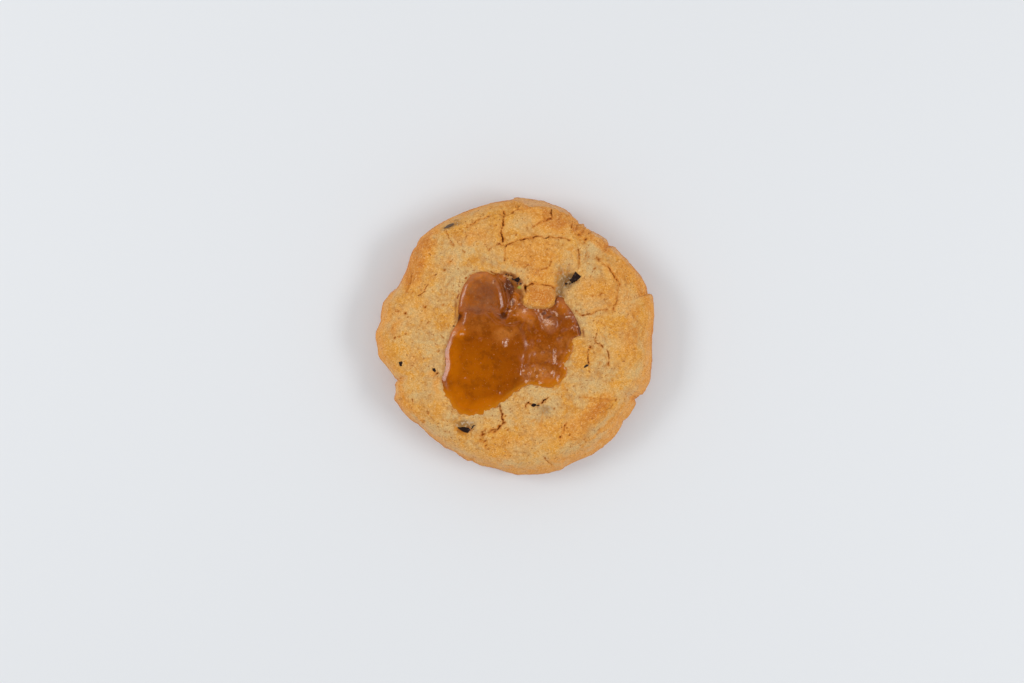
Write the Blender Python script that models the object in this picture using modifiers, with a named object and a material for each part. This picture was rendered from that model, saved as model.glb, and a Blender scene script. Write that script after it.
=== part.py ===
"""Salted caramel cookie: a thick round of baked dough, torn open round a pool of caramel.

Metres, +Z up. The origin is the middle of the flat base. Seen from above, +X is right and +Y
is up. Places and sizes in the tables are millimetres on the finished cookie.
"""

import math

import bmesh
import bpy
import numpy as np
from mathutils import Matrix, Vector, noise

MM = 0.001

# Driving sizes, in millimetres
WIDTH = 96.0  # along X, at the widest level
DEPTH = 95.7  # along Y
WIDEST_LEVEL = 5.0  # height at which the side bulges furthest
RIM_LEVEL = 16.8  # height of the shoulder where the side turns into the top
TOP_LEVEL = 20.5  # height of the plateau round the caramel
NOMINAL_RADIUS = 47.0  # radius of the turned blank, before the edge is made uneven
NOMINAL_SETBACK = 4.0  # how far the blank's shoulder is inside its widest level
WELL_FLOOR = 12.0  # height of the floor under the caramel
GAP = 0.3  # clearance between separate pieces
STEPS_ROUND = 400  # segments of the blank, before it is decimated
RING_SPACING = 0.55  # spacing of the blank's rings across the top
DOUGH_FACES_KEPT = 0.1
TOP_STARTS = 13.0  # height from which the relief of the top fades in, over the next number
TOP_FADES_IN = 4.0
LIP_DROP = 0.45  # how far the dough dips where it meets the caramel
LIP_WIDTH = 1.3

# The caramel
SHEET_SIDE = 60.0  # side of the square sheet that the caramel is cut from
SHEET_MIDDLE_Y = -2.0
GRID_CELLS = 92  # cells along each side of the sheet
SHEET_DEPTH = 1.0  # depth of the sheet before its underside moves down to the well's floor
CARAMEL_FACES_KEPT = 0.1
CARAMEL_LEVEL = 20.2
CARAMEL_ROUNDING = 1.8  # width of the rounded rim of the sheet
CARAMEL_RIM_DROP = 0.8
BUBBLY_FROM_X = -2.0  # the caramel turns bubbly across the next number
BUBBLY_OVER = 6.0
CUTTER_SPARE = 5.0  # how far cutters reach past what they cut

# Uneven noise: amount, size of its lumps, seed
BULGE_NOISE = ((0.3, 6.0, 3.1), (0.3, 2.6, 8.7))
LUMP_NOISE = ((0.5, 13.0, 21.3), (0.25, 4.0, 5.9))
TORN_NOISE = (((0.9, 2.4, 1.7),), ((0.9, 2.4, 31.4),))
CARAMEL_NOISE = ((0.1, 3.0, 11.9),)
BUBBLY_NOISE = ((0.35, 3.0, 11.9),)

# Plain colours
DOUGH_COLOUR = (0.62, 0.36, 0.12)
CARAMEL_COLOUR = (0.33, 0.1, 0.006)
CHOCOLATE_COLOUR = (0.035, 0.018, 0.012)

# Outline of the widest level, clockwise from the top, with the places where the side is torn.
# Its points are drawn as it looks from overhead at the top's level, and then grown to size
OUTLINE_GROWTH = 1.0264
OUTLINE_CENTRE = (-1.04, -1.73)
STEP_BLUR = 0.7  # degrees to each side over which a sudden step in the outline is spread
OUTLINE = (
    (0, 46.3), (5, 46), (10, 45.3), (15, 43.3), (17.5, 42), (19.5, 39.8), (21, 38), (22, 37.3),
    (22.9, 37.2), (23.2, 36.5), (27, 34.6), (29, 33.5), (31, 32.2), (31.5, 30.4), (33, 30.2),
    (36, 27.3), (38.5, 24.8), (41.5, 21.2), (43.8, 17.3), (44.3, 16), (44.2, 14.1), (45.9, 14.1),
    (46.5, 11), (46.8, 8), (46.8, 5), (46, -1), (46.3, -7), (45.6, -13), (45.7, -14.3), (44, -18),
    (42.8, -19.8), (41, -20.8), (40.7, -21.4), (40.9, -22), (40.5, -24), (38.3, -27.5),
    (37, -28.5), (34.5, -32.5), (32.5, -35), (28.5, -38.3), (25.5, -40), (19, -42.8), (15.5, -45),
    (8, -46.5), (4, -46.8), (0, -46.6), (-6, -44.8), (-12.5, -43.3), (-14, -42.2), (-16.5, -41.8),
    (-18, -40.9), (-20, -39.4), (-24, -37.3), (-27, -35), (-32, -30.3), (-37, -26.3), (-39, -23.5),
    (-40.5, -21), (-39.9, -18), (-40.3, -16.3), (-39.5, -14.6), (-42.5, -11.2), (-44.5, -8.5),
    (-46.3, -6), (-45.9, -4.5), (-47, -0.5), (-47, 1), (-45.3, 5), (-44.7, 10), (-44.3, 11.7),
    (-42.5, 13.8), (-40, 16.2), (-38.6, 18), (-36.3, 22.7), (-35.7, 25), (-34.8, 27.8),
    (-33.2, 30), (-32.2, 32.4), (-30, 34), (-24.5, 38.2), (-19, 40.6), (-10, 43.8), (-1, 45.8),
)

# How far the shoulder lies inside the widest level: degrees, millimetres
SETBACK = (
    (0, 4.0), (20, 3.2), (40, 3.0), (55, 2.8), (75, 3.6), (90, 2.7), (115, 2.6), (140, 2.8),
    (160, 4.2), (180, 3.6), (205, 3.0), (230, 4.4), (270, 5.2), (300, 6.0), (318, 7.0), (340, 5.2),
)

# Side of the blank from base to shoulder: share of the setback, extra inset and height
SIDE = (
    (0.0, 3.6, 0.0), (0.0, 2.2, 0.5), (0.0, 1.2, 1.4), (0.0, 0.35, 3.0), (0.0, 0.0, 5.0),
    (0.04, 0.0, 7.0), (0.13, 0.0, 9.2), (0.27, 0.0, 11.4), (0.44, 0.0, 13.4), (0.68, 0.0, 15.2),
    (1.0, 0.0, 16.8),
)

# Shoulder to plateau: distance inside the shoulder, height below the plateau
SHOULDER = ((0.7, 3.0), (1.6, 2.2), (3.0, 1.4), (5.0, 0.75), (8.0, 0.3), (12.0, 0.05))

# Low mounds (+) and hollows (-): x, y, half length, half width, turn in degrees, height
MOUNDS = (
    (5.0, 28.0, 9.5, 5.2, 6, 0.75),  # oval plate above the caramel
    (8.5, 14.5, 6.5, 5.0, 0, 0.7),  # tab of dough that hangs into the pool
    (7.5, 21.5, 5.5, 4.0, 0, 0.35),  # neck that carries the tab
    (27.0, 15.5, 10.0, 7.0, -35, 0.5),  # right plate
    (-33.0, 27.0, 8.0, 4.5, 50, 0.55),
    (11.5, 40.3, 4.5, 2.6, -15, 0.6),
    (27.0, -25.0, 9.0, 6.0, 50, 0.55),
    (-8.0, 34.5, 8.0, 5.0, 10, 0.3),
    (-40.0, 3.0, 5.0, 8.0, 0, 0.4),
    (2.0, -34.0, 12.0, 6.0, 0, 0.3),
    (38.0, -3.0, 6.0, 10.0, 5, 0.35),
    (-18.2, -31.0, 3.6, 2.1, -18, -1.0),  # hollow round the lower left chip
    (9.5, -24.3, 3.5, 2.5, 0, -0.45),
    (-36.0, -19.5, 3.0, 5.0, 20, -0.5),
    (33.5, -28.0, 8.0, 2.0, 55, -0.5),  # long crease before the lower right slope
    (-30.5, 14.0, 4.0, 7.0, 20, -0.35),
    (30.5, 31.0, 3.4, 2.0, -45, -0.8),  # torn places of the rim
    (22.3, 37.0, 2.6, 1.6, -40, -0.7),
    (43.5, 14.2, 2.6, 1.2, 0, -1.0),
    (40.5, -21.6, 2.6, 1.2, 30, -0.9),
    (-39.3, -14.8, 2.4, 1.6, 20, -0.9),
)

# Creases and cracks: half width, depth, points. The wide ones are valleys, the others tears
CRACKS = (
    (2.0, 1.7, ((20.0, 19.6), (17.6, 18.0), (15.6, 16.0), (14.6, 13.4))),
    (0.55, 1.5, ((-4, 42), (-4.2, 39), (-4, 37.5), (-4.8, 35.5), (-4.2, 33), (-4.2, 32))),
    (0.45, 1.0, ((-3.8, 41), (-2, 40.5), (-1, 42), (0.8, 42.5), (1.3, 44))),
    (0.45, 0.9, ((-9, 29.2), (-7.5, 30.4), (-6, 31.2), (-3.5, 31), (-3, 30))),
    (0.55, 1.3, ((-3, 30), (-1.5, 31), (3, 32.8), (7.7, 33.4), (10.5, 32.7), (14, 33.2), (18.3, 32.4))),
    (0.5, 1.2, ((-3, 30), (-3.3, 27), (-3.7, 25.7))),
    (0.45, 0.7, ((-1.5, 25), (1.5, 24), (4.5, 23.8), (8.5, 22.4), (10.3, 23), (12.2, 25.3))),
    (0.55, 1.4, ((3.4, 16.6), (5.5, 17.5), (9, 17.2), (12.5, 16.6), (13.6, 15.5))),
    (0.5, 1.2, ((12, 41.8), (12.2, 40.5), (10.8, 39.3), (8.7, 38.3), (6, 37))),
    (0.5, 1.1, ((-16, 37.3), (-13, 38.2), (-10.5, 40), (-8.5, 40.3))),
    (0.5, 1.1, ((21.2, 29.5), (21.5, 26), (21.7, 24.5), (21.4, 22.5))),
    (0.6, 1.3, ((27.7, 26.7), (29.5, 24.5), (32.7, 20.8), (34.8, 17.2), (34.2, 12), (33, 9))),
    (0.45, 0.9, ((25.2, 13.9), (28, 13.7), (30, 14.5))),
    (0.5, 1.1, ((20.3, 8.5), (22.2, 7.2), (24.8, 7.4), (29, 8.9), (31, 9.2))),
    (0.45, 0.9, ((-26.3, 21.2), (-28.3, 20), (-30, 16.5), (-32.3, 13.8))),
    (0.5, 1.0, ((-23.4, 35.5), (-22.5, 33.2), (-21, 30.8))),
    (0.5, 0.9, ((-35, 25), (-34.7, 18), (-36.8, 14.6))),
    (0.45, 0.8, ((-40.5, 8.3), (-37.8, 9.2), (-36, 6.5))),
    (0.6, 1.5, ((-10, -35), (-10.9, -33.5), (-10, -31.8), (-6.3, -31.4), (-3.9, -29.3), (-5, -25))),
    (0.5, 1.1, ((3.2, -23.4), (6.4, -23.2), (8.3, -22.8), (11, -20.9), (14.3, -23))),
    (0.5, 1.1, ((17.3, -29.3), (16.4, -31.2), (15.7, -33.3), (15.3, -35))),
    (0.45, 0.9, ((10, -41), (12, -43.3), (12.5, -44.2))),
    (0.45, 0.8, ((4.5, -37), (9.5, -35.3))),
    (0.5, 1.2, ((24.9, -3.4), (24.6, -5), (24.4, -7), (24.7, -9))),
    (0.45, 1.0, ((27.2, 0.8), (26.9, -1), (29.2, -3.7), (31.5, -5.3), (31.5, -9.6))),
    (0.5, 0.9, ((22.1, -20.5), (26, -20.8), (34, -21.5))),
    (0.5, 0.8, ((-34.5, -21), (-33.5, -23))),
    (0.5, 0.8, ((-30, -23.6), (-29, -26.5), (-28, -27.8))),
)

# Outline of the caramel, clockwise from the top of its lobe; the dough's tab bites into it
CARAMEL_EDGE = (
    (-10.0, 22.3), (-7.2, 21.3), (-4.5, 21.1), (-2.6, 20.5), (-1.5, 19.4), (-0.7, 18.0),
    (0.1, 16.6), (0.4, 15.2), (1.1, 13.9), (1.7, 12.6), (2.7, 11.3), (4.4, 10.1), (8.0, 9.9),
    (11.8, 10.2), (13.4, 12.0),
    (15.2, 12.7), (17.0, 11.7), (19.4, 9.0), (21.1, 5.9), (22.5, 2.6), (22.7, 0.0),
    (20.6, -0.7), (19.3, -1.9), (18.8, -4.7), (17.4, -7.0), (16.7, -8.8), (17.0, -12.0),
    (16.2, -14.0), (14.4, -15.3), (12.4, -16.5), (10.2, -16.8), (7.2, -15.9), (4.4, -15.6),
    (1.4, -17.1), (-1.4, -19.0), (-4.2, -21.5), (-7.8, -23.5), (-11.7, -25.5), (-14.2, -26.3),
    (-17.0, -25.8), (-20.0, -24.2), (-21.8, -21.0), (-24.4, -17.6), (-25.3, -14.4),
    (-24.0, -10.6), (-24.2, -5.3), (-23.0, -1.4), (-21.8, 1.8), (-20.1, 4.6), (-19.8, 8.0),
    (-19.1, 13.0), (-17.3, 18.0), (-14.2, 21.5),
)

# The caramel's own relief, as for the dough
CARAMEL_MOUNDS = (
    (-12.0, -11.0, 15.0, 18.0, -20, 0.55),  # lower left sheet, which stands proud
    (-11.8, 15.0, 9.0, 9.5, 0, 1.5),  # lobe
    (10.0, -1.0, 10.0, 9.0, 0, -0.35),
    (-1.6, 17.2, 3.0, 3.6, 0, -1.6),  # hollow between lobe and tab
    (-19.3, 6.2, 1.8, 2.2, 0, -1.2),
    (8.0, 8.4, 7.0, 2.4, 0, -0.6),  # shade under the tab
    (11.0, 4.3, 2.4, 2.6, 30, 0.5),
    (16.5, 9.5, 3.4, 4.0, 0, 0.3),
    (10.0, -13.0, 8.0, 3.5, 0, 0.2),
)
CARAMEL_CREASES = (
    (1.3, 1.6, ((-7.0, 20.6), (-4.0, 17.6), (-2.9, 14.0), (-2.6, 10.5), (-4.2, 7.8))),
    (1.0, 0.5, ((-17.5, 7.5), (-11.0, 8.2), (-4.2, 7.8))),
    (1.2, 0.4, ((5.0, 8.5), (3.5, 3.0), (4.5, -4.0), (2.8, -11.0))),
)

# Chocolate pieces: name, x, y, height of the top, length, width, depth, turn, pitch, roll
CHIPS = (
    ("chip_upper_right", 20.8, 20.2, 20.1, 3.3, 2.6, 3.0, 38, 12, 0),
    ("chip_lower_left", -16.9, -31.3, 19.2, 3.4, 1.7, 2.6, -18, -6, 18),
    ("chip_left_edge", -38.3, -9.2, 18.5, 1.8, 1.6, 2.0, 20, -24, 0),
    ("chip_inner_left", -27.2, -11.4, 20.7, 1.5, 1.3, 1.8, -30, 8, 0),
    ("chip_bottom", 6.3, -23.1, 20.0, 2.0, 1.2, 2.0, -10, 8, 8),
    ("chip_right", 24.0, -9.9, 20.3, 1.8, 1.1, 1.8, 32, 8, 0),
    ("chip_pool_top", 1.0, 19.3, 20.2, 1.5, 1.1, 1.8, -30, 8, 0),
    ("chip_rim_top_left", -21.6, 37.0, 16.9, 2.8, 1.6, 2.0, 30, 0, -42),
)
CHIP_BEVEL = 0.28  # share of the width cut off its edges


# Shape rules -------------------------------------------------------------------------------


def hermite(at, value, slope, where):
    """Smooth curve through the values, read at each place."""
    after = np.clip(np.searchsorted(at, where, side="right"), 1, len(at) - 1)
    before = after - 1
    span = at[after] - at[before]
    t = (where - at[before]) / span
    rise = value[after] - value[before]
    start, end = slope[before] * span, slope[after] * span
    return value[before] + t * (start + t * (3 * rise - 2 * start - end + t * (start + end - 2 * rise)))


def by_angle(table, angle):
    """Value at each angle in degrees, through a table that closes on itself."""
    degrees, values = np.array(table, float).T
    at = np.concatenate([degrees - 360, degrees, degrees + 360])
    value = np.tile(values, 3)
    return hermite(at, value, np.gradient(value, at), angle % 360)


def outline_radius(angle):
    """Radius of the widest level at each angle in degrees, along the outline's straight runs."""
    middle = np.array(OUTLINE_CENTRE)
    x, y = ((np.array(OUTLINE) - middle) * OUTLINE_GROWTH + middle).T
    turn, radius = np.degrees(np.arctan2(y, x)), np.hypot(x, y)
    spread = [np.interp(angle + off, turn, radius, period=360) for off in (-STEP_BLUR, 0, STEP_BLUR)]
    return np.mean(spread, axis=0)


def closed_line(points):
    return [*points, points[0]]


def closed_curve(corners, steps_between):
    """Points of a smooth closed curve through the corners."""
    corners = np.array(corners, float)
    around = np.concatenate([corners[-2:], corners, corners[:3]])
    length = np.concatenate([[0], np.cumsum(np.hypot(*np.diff(around, axis=0).T))])
    t = np.arange(steps_between) / steps_between
    spans = zip(length[2:-3], length[3:-2])
    where = np.concatenate([a + (b - a) * t for a, b in spans])
    return np.stack([hermite(length, v, np.gradient(v, length), where) for v in around.T], axis=1)


def distance_to_line(x, y, points):
    """Shortest distance in plan from each place to a chain of straight runs."""
    nearest = np.full(x.shape, np.inf)
    for (ax, ay), (bx, by) in zip(points[:-1], points[1:]):
        run_x, run_y = bx - ax, by - ay
        along = ((x - ax) * run_x + (y - ay) * run_y) / (run_x**2 + run_y**2)
        along = np.clip(along, 0, 1)
        nearest = np.minimum(nearest, np.hypot(x - ax - along * run_x, y - ay - along * run_y))
    return nearest


def mounds(x, y, table):
    """Summed height of soft elliptical mounds."""
    height = np.zeros_like(x)
    for cx, cy, half_length, half_width, turn, rise in table:
        c, s = math.cos(math.radians(turn)), math.sin(math.radians(turn))
        along = ((x - cx) * c + (y - cy) * s) / half_length
        across = ((y - cy) * c - (x - cx) * s) / half_width
        height += rise * np.exp(-((along**2 + across**2) ** 1.6))
    return height


def creases(x, y, table):
    """Depth of the deepest crease at each place."""
    depth = np.zeros_like(x)
    for half_width, deep, points in table:
        depth = np.maximum(depth, deep * np.exp(-((distance_to_line(x, y, points) / half_width) ** 2)))
    return depth


def rough(x, y, z, size, seed):
    """Smooth random values from -1 to 1 whose lumps are about the given size."""
    places = np.stack([x, y, z], axis=1) / size + seed
    return np.array([noise.noise(Vector(place)) for place in places])


def mixed(x, y, z, table):
    """Sum of several sizes of noise."""
    return sum(amount * rough(x, y, z, size, seed) for amount, size, seed in table)


def fitted(values, length):
    """The values centred on zero and stretched to span the length."""
    low, high = values.min(), values.max()
    return (values - (low + high) / 2) * length / (high - low)


def dough_shape(x, y, z):
    """Moves the turned blank's points to the uneven baked form."""
    radius = np.hypot(x, y)
    angle = np.degrees(np.arctan2(y, x))
    edge = outline_radius(angle)
    share = np.clip(radius / NOMINAL_RADIUS, 0, 1)
    shoulder = np.clip((z - WIDEST_LEVEL) / (RIM_LEVEL - WIDEST_LEVEL), 0, 1)
    extra = (by_angle(SETBACK, angle) - NOMINAL_SETBACK) * shoulder * share**6
    on_side = np.clip(z / 2, 0, 1) * share**8
    bulge = mixed(x, y, z, BULGE_NOISE) * on_side
    new_radius = radius * (edge / NOMINAL_RADIUS) ** (share**3) - extra + bulge
    scale = new_radius / np.maximum(radius, 1e-6)
    x, y = fitted(x * scale, WIDTH), fitted(y * scale, DEPTH)
    on_top = np.clip((z - TOP_STARTS) / TOP_FADES_IN, 0, 1)
    from_pool = distance_to_line(x, y, closed_line(CARAMEL_EDGE))
    lip = LIP_DROP * np.exp(-((from_pool / LIP_WIDTH) ** 2))
    torn_x, torn_y = (mixed(x, y, z, table) for table in TORN_NOISE)
    torn = creases(x + torn_x, y + torn_y, CRACKS)
    rise = mounds(x, y, MOUNDS) - torn - lip + mixed(x, y, z, LUMP_NOISE)
    return x, y, z + on_top * rise


def caramel_shape(x, y):
    """Height of the caramel's surface."""
    from_edge = distance_to_line(x, y, closed_line(CARAMEL_EDGE))
    rim = CARAMEL_RIM_DROP * (1 - np.clip(from_edge / CARAMEL_ROUNDING, 0, 1)) ** 2
    height = CARAMEL_LEVEL + mounds(x, y, CARAMEL_MOUNDS) - creases(x, y, CARAMEL_CREASES) - rim
    bubbly = np.clip((x - BUBBLY_FROM_X) / BUBBLY_OVER, 0, 1)
    flat = np.zeros_like(x)
    return height + mixed(x, y, flat, CARAMEL_NOISE) + bubbly * mixed(x, y, flat, BUBBLY_NOISE)


# Mesh helpers ------------------------------------------------------------------------------


def material(name, colour, roughness):
    """A plain Principled material."""
    made = bpy.data.materials.new(name)
    made.use_nodes = True
    shader = made.node_tree.nodes["Principled BSDF"]
    shader.inputs["Base Color"].default_value = (*colour, 1)
    shader.inputs["Roughness"].default_value = roughness
    shader.inputs["Metallic"].default_value = 0
    return made


def add_object(name, mesh, collection, finish=None):
    obj = bpy.data.objects.new(name, mesh)
    collection.objects.link(obj)
    if finish:
        mesh.materials.append(finish)
    return obj


def hide_cutter(obj):
    obj.hide_render = True
    obj.display_type = "WIRE"


def read_points(mesh):
    """The mesh's points as x, y, z arrays in millimetres."""
    flat = np.empty(len(mesh.vertices) * 3, np.float32)
    mesh.vertices.foreach_get("co", flat)
    return (flat.astype(float).reshape(-1, 3) / MM).T


def write_points(mesh, x, y, z):
    mesh.vertices.foreach_set("co", (np.stack([x, y, z], axis=1) * MM).astype(np.float32).ravel())
    mesh.update()


def made_mesh(obj, name):
    """The object's evaluated mesh as new mesh data, with touching points welded."""
    graph = bpy.context.evaluated_depsgraph_get()
    mesh = bpy.data.meshes.new_from_object(obj.evaluated_get(graph))
    mesh.name = name
    mesh.transform(obj.matrix_world)
    bm = bmesh.new()
    bm.from_mesh(mesh)
    bmesh.ops.remove_doubles(bm, verts=bm.verts, dist=1e-6)
    bmesh.ops.recalc_face_normals(bm, faces=bm.faces)
    bm.to_mesh(mesh)
    bm.free()
    bpy.data.objects.remove(obj)
    return mesh


def prism(name, outline, low, high, collection):
    """A closed outline filled and carried straight up, as a mesh object."""
    curve = bpy.data.curves.new(name, "CURVE")
    curve.dimensions = "2D"
    curve.fill_mode = "BOTH"
    curve.extrude = (high - low) / 2 * MM
    spline = curve.splines.new("POLY")
    spline.points.add(len(outline) - 1)
    for point, (x, y) in zip(spline.points, outline):
        point.co = (x * MM, y * MM, 0, 1)
    spline.use_cyclic_u = True
    guide = bpy.data.objects.new(name + "_curve", curve)
    collection.objects.link(guide)
    guide.location.z = (high + low) / 2 * MM
    bpy.context.view_layer.update()
    return add_object(name, made_mesh(guide, name), collection)


def grown(outline, by):
    """The clockwise outline moved outwards along its own normals."""
    run = np.roll(outline, -1, axis=0) - np.roll(outline, 1, axis=0)
    run /= np.hypot(*run.T)[:, None]
    return outline + by * np.stack([-run[:, 1], run[:, 0]], axis=1)


def cut(obj, cutter, name, operation="DIFFERENCE"):
    boolean = obj.modifiers.new(name, "BOOLEAN")
    boolean.operation = operation
    boolean.object = cutter
    boolean.solver = "EXACT"


def keep_share(obj, share):
    decimate = obj.modifiers.new("Fewer faces", "DECIMATE")
    decimate.ratio = share
    decimate.use_collapse_triangulate = True


# Pieces ------------------------------------------------------------------------------------


def turned_profile():
    """Radius and height of the blank's profile, from the middle of the base to the middle of the top."""
    profile = [(0.0, 0.0), (20.0, 0.0), (36.0, 0.0)]
    profile += [(NOMINAL_RADIUS - inset - share * NOMINAL_SETBACK, z) for share, inset, z in SIDE]
    rim = NOMINAL_RADIUS - NOMINAL_SETBACK
    inside, below = np.array(((0.0, TOP_LEVEL - RIM_LEVEL), *SHOULDER)).T
    for ring in np.arange(RING_SPACING, rim, RING_SPACING):
        profile.append((rim - ring, TOP_LEVEL - np.interp(ring, inside, below)))
    profile.append((0.0, TOP_LEVEL))
    return profile


def make_dough(parts, cutters, finish):
    mesh = bpy.data.meshes.new("blank")
    bm = bmesh.new()
    corners = [bm.verts.new((r * MM, 0, z * MM)) for r, z in reversed(turned_profile())]
    for upper, lower in zip(corners[:-1], corners[1:]):
        bm.edges.new((upper, lower))
    bm.to_mesh(mesh)
    bm.free()
    blank = add_object("blank", mesh, cutters)
    screw = blank.modifiers.new("Turn", "SCREW")
    screw.steps = screw.render_steps = STEPS_ROUND
    screw.use_merge_vertices = True
    screw.merge_threshold = 1e-5
    bpy.context.view_layer.update()
    shaped = made_mesh(blank, "cookie_dough")
    write_points(shaped, *dough_shape(*read_points(shaped)))
    dough = add_object("cookie_dough", shaped, parts, finish)
    keep_share(dough, DOUGH_FACES_KEPT)
    return dough


def make_caramel(parts, cutters, outline, finish):
    """A slab with the pool's relief on top, cut to the pool's outline."""
    bm = bmesh.new()
    half_side = SHEET_SIDE / 2 * MM
    bmesh.ops.create_grid(bm, x_segments=GRID_CELLS, y_segments=GRID_CELLS, size=half_side)
    extruded = bmesh.ops.extrude_face_region(bm, geom=bm.faces[:])
    lower = [item for item in extruded["geom"] if isinstance(item, bmesh.types.BMVert)]
    bmesh.ops.translate(bm, verts=lower, vec=(0, 0, -SHEET_DEPTH * MM))
    bmesh.ops.recalc_face_normals(bm, faces=bm.faces)
    mesh = bpy.data.meshes.new("caramel_pool")
    bm.to_mesh(mesh)
    bm.free()
    x, y, z = read_points(mesh)
    y = y + SHEET_MIDDLE_Y
    top = z > -SHEET_DEPTH / 2
    z = np.where(top, caramel_shape(x, y), WELL_FLOOR + GAP)
    write_points(mesh, x, y, z)
    caramel = add_object("caramel_pool", mesh, parts, finish)
    keep_share(caramel, CARAMEL_FACES_KEPT)
    low, high = WELL_FLOOR - CUTTER_SPARE, TOP_LEVEL + CUTTER_SPARE
    shape = prism("caramel_outline", outline, low, high, cutters)
    hide_cutter(shape)
    cut(caramel, shape, "Outline", "INTERSECT")
    return caramel


def chip_mesh(name, length, width, depth):
    """A broken block of chocolate with its edges taken off."""
    bm = bmesh.new()
    bmesh.ops.create_cube(bm, size=1)
    bmesh.ops.scale(bm, verts=bm.verts, vec=(length * MM, width * MM, depth * MM))
    bmesh.ops.bevel(
        bm, geom=bm.edges[:], offset=CHIP_BEVEL * width * MM, segments=1, profile=0.5, affect="EDGES"
    )
    mesh = bpy.data.meshes.new(name)
    bm.to_mesh(mesh)
    bm.free()
    return mesh


def make_chip(parts, cutters, dough, chip, finish):
    """One chocolate piece, and the pocket that it sits in."""
    name, x, y, top, length, width, depth, *turns = chip
    place = Matrix.Translation((x * MM, y * MM, (top - depth / 2) * MM))
    for degrees, axis in zip(turns, "ZYX"):
        place @= Matrix.Rotation(math.radians(degrees), 4, axis)
    piece = add_object(name, chip_mesh(name, length, width, depth), parts, finish)
    piece.matrix_world = place
    around = 2 * GAP
    pocket_mesh = chip_mesh(name + "_pocket", length + around, width + around, depth + around)
    pocket = add_object(name + "_pocket", pocket_mesh, cutters)
    pocket.matrix_world = place
    hide_cutter(pocket)
    cut(dough, pocket, "Pocket of " + name)


def main():
    for obj in list(bpy.data.objects):
        bpy.data.objects.remove(obj)
    parts = bpy.data.collections.new("Salted caramel cookie")
    cutters = bpy.data.collections.new("Cutters")
    for collection in (parts, cutters):
        bpy.context.scene.collection.children.link(collection)
    baked = material("Baked dough", DOUGH_COLOUR, 0.8)
    caramel = material("Caramel", CARAMEL_COLOUR, 0.15)
    chocolate = material("Dark chocolate", CHOCOLATE_COLOUR, 0.45)

    dough = make_dough(parts, cutters, baked)
    outline = closed_curve(CARAMEL_EDGE, 3)
    well = prism("caramel_well", grown(outline, GAP), WELL_FLOOR, TOP_LEVEL + CUTTER_SPARE, cutters)
    hide_cutter(well)
    cut(dough, well, "Well")
    make_caramel(parts, cutters, outline, caramel)
    for chip in CHIPS:
        make_chip(parts, cutters, dough, chip, chocolate)


main()
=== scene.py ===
# %% [markdown]
# # A salted caramel cookie
# This notebook dresses the plain solids of one big bakery cookie: a thick round of baked dough
# whose top has torn open round a pool of caramel, with bits of dark chocolate in the crumb. The
# solids give the size and the main form. Here we add what the eye reads as food: sandy crumb,
# cracks with ragged edges, browning, and the wet shine of caramel.

# %% Load the frame and keep its box
import math

import bpy
import numpy as np
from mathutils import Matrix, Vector, noise
from mathutils.bvhtree import BVHTree


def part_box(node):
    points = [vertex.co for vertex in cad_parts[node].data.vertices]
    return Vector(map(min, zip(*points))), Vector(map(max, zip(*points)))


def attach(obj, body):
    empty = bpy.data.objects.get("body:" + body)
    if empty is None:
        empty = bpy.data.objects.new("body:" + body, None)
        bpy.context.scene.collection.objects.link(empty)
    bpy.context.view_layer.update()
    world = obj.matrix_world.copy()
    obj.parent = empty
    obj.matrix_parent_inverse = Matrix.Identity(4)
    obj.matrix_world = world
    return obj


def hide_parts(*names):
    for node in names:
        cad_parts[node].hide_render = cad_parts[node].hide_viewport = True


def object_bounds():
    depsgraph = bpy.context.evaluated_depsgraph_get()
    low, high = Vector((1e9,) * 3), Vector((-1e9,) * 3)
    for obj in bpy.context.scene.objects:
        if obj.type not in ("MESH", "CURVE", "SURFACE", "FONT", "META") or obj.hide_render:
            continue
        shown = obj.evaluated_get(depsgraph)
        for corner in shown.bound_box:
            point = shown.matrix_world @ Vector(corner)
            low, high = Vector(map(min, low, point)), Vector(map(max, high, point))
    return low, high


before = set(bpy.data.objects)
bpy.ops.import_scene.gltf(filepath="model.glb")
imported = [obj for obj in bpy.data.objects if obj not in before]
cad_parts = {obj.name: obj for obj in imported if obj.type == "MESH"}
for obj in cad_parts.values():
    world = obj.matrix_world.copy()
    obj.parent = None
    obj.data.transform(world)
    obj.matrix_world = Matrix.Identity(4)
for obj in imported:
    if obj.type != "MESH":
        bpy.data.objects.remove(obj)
cad_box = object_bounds()
print("nodes:", ", ".join(sorted(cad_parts)))

# %% [markdown]
# ## Helpers for working by hand in code
# An operator acts on whatever is selected, and loading leaves every node selected, so each step
# starts by selecting just one object. Points are easier to think about in millimetres, so two
# helpers read a mesh's points as x, y and z arrays in millimetres, and write them back.

# %% Selecting, applying and moving points
MM = 0.001


def select_only(obj):
    """Makes this the one selected and active object."""
    bpy.ops.object.select_all(action="DESELECT")
    obj.select_set(True)
    bpy.context.view_layer.objects.active = obj


def apply_modifier(obj, kind, **settings):
    """Adds a modifier with these settings and applies it at once."""
    select_only(obj)
    modifier = obj.modifiers.new(kind.title(), kind)
    for key, value in settings.items():
        setattr(modifier, key, value)
    bpy.ops.object.modifier_apply(modifier=modifier.name)


def read(obj, what="co"):
    """A vector of every vertex, as x, y and z arrays: places in millimetres, or plain normals."""
    flat = np.empty(len(obj.data.vertices) * 3, np.float32)
    obj.data.vertices.foreach_get(what, flat)
    return flat.astype(float).reshape(-1, 3).T / (MM if what == "co" else 1)


def write(obj, x, y, z):
    """Moves every vertex of the object."""
    obj.data.vertices.foreach_set("co", (np.stack([x, y, z], axis=1) * MM).ravel())
    obj.data.update()


def paint(obj, name, values):
    """Stores one number a vertex, which a material can read by this name."""
    layer = obj.data.attributes.new(name, "FLOAT", "POINT")
    layer.data.foreach_set("value", np.clip(values, 0, 1).astype(np.float32))


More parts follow.
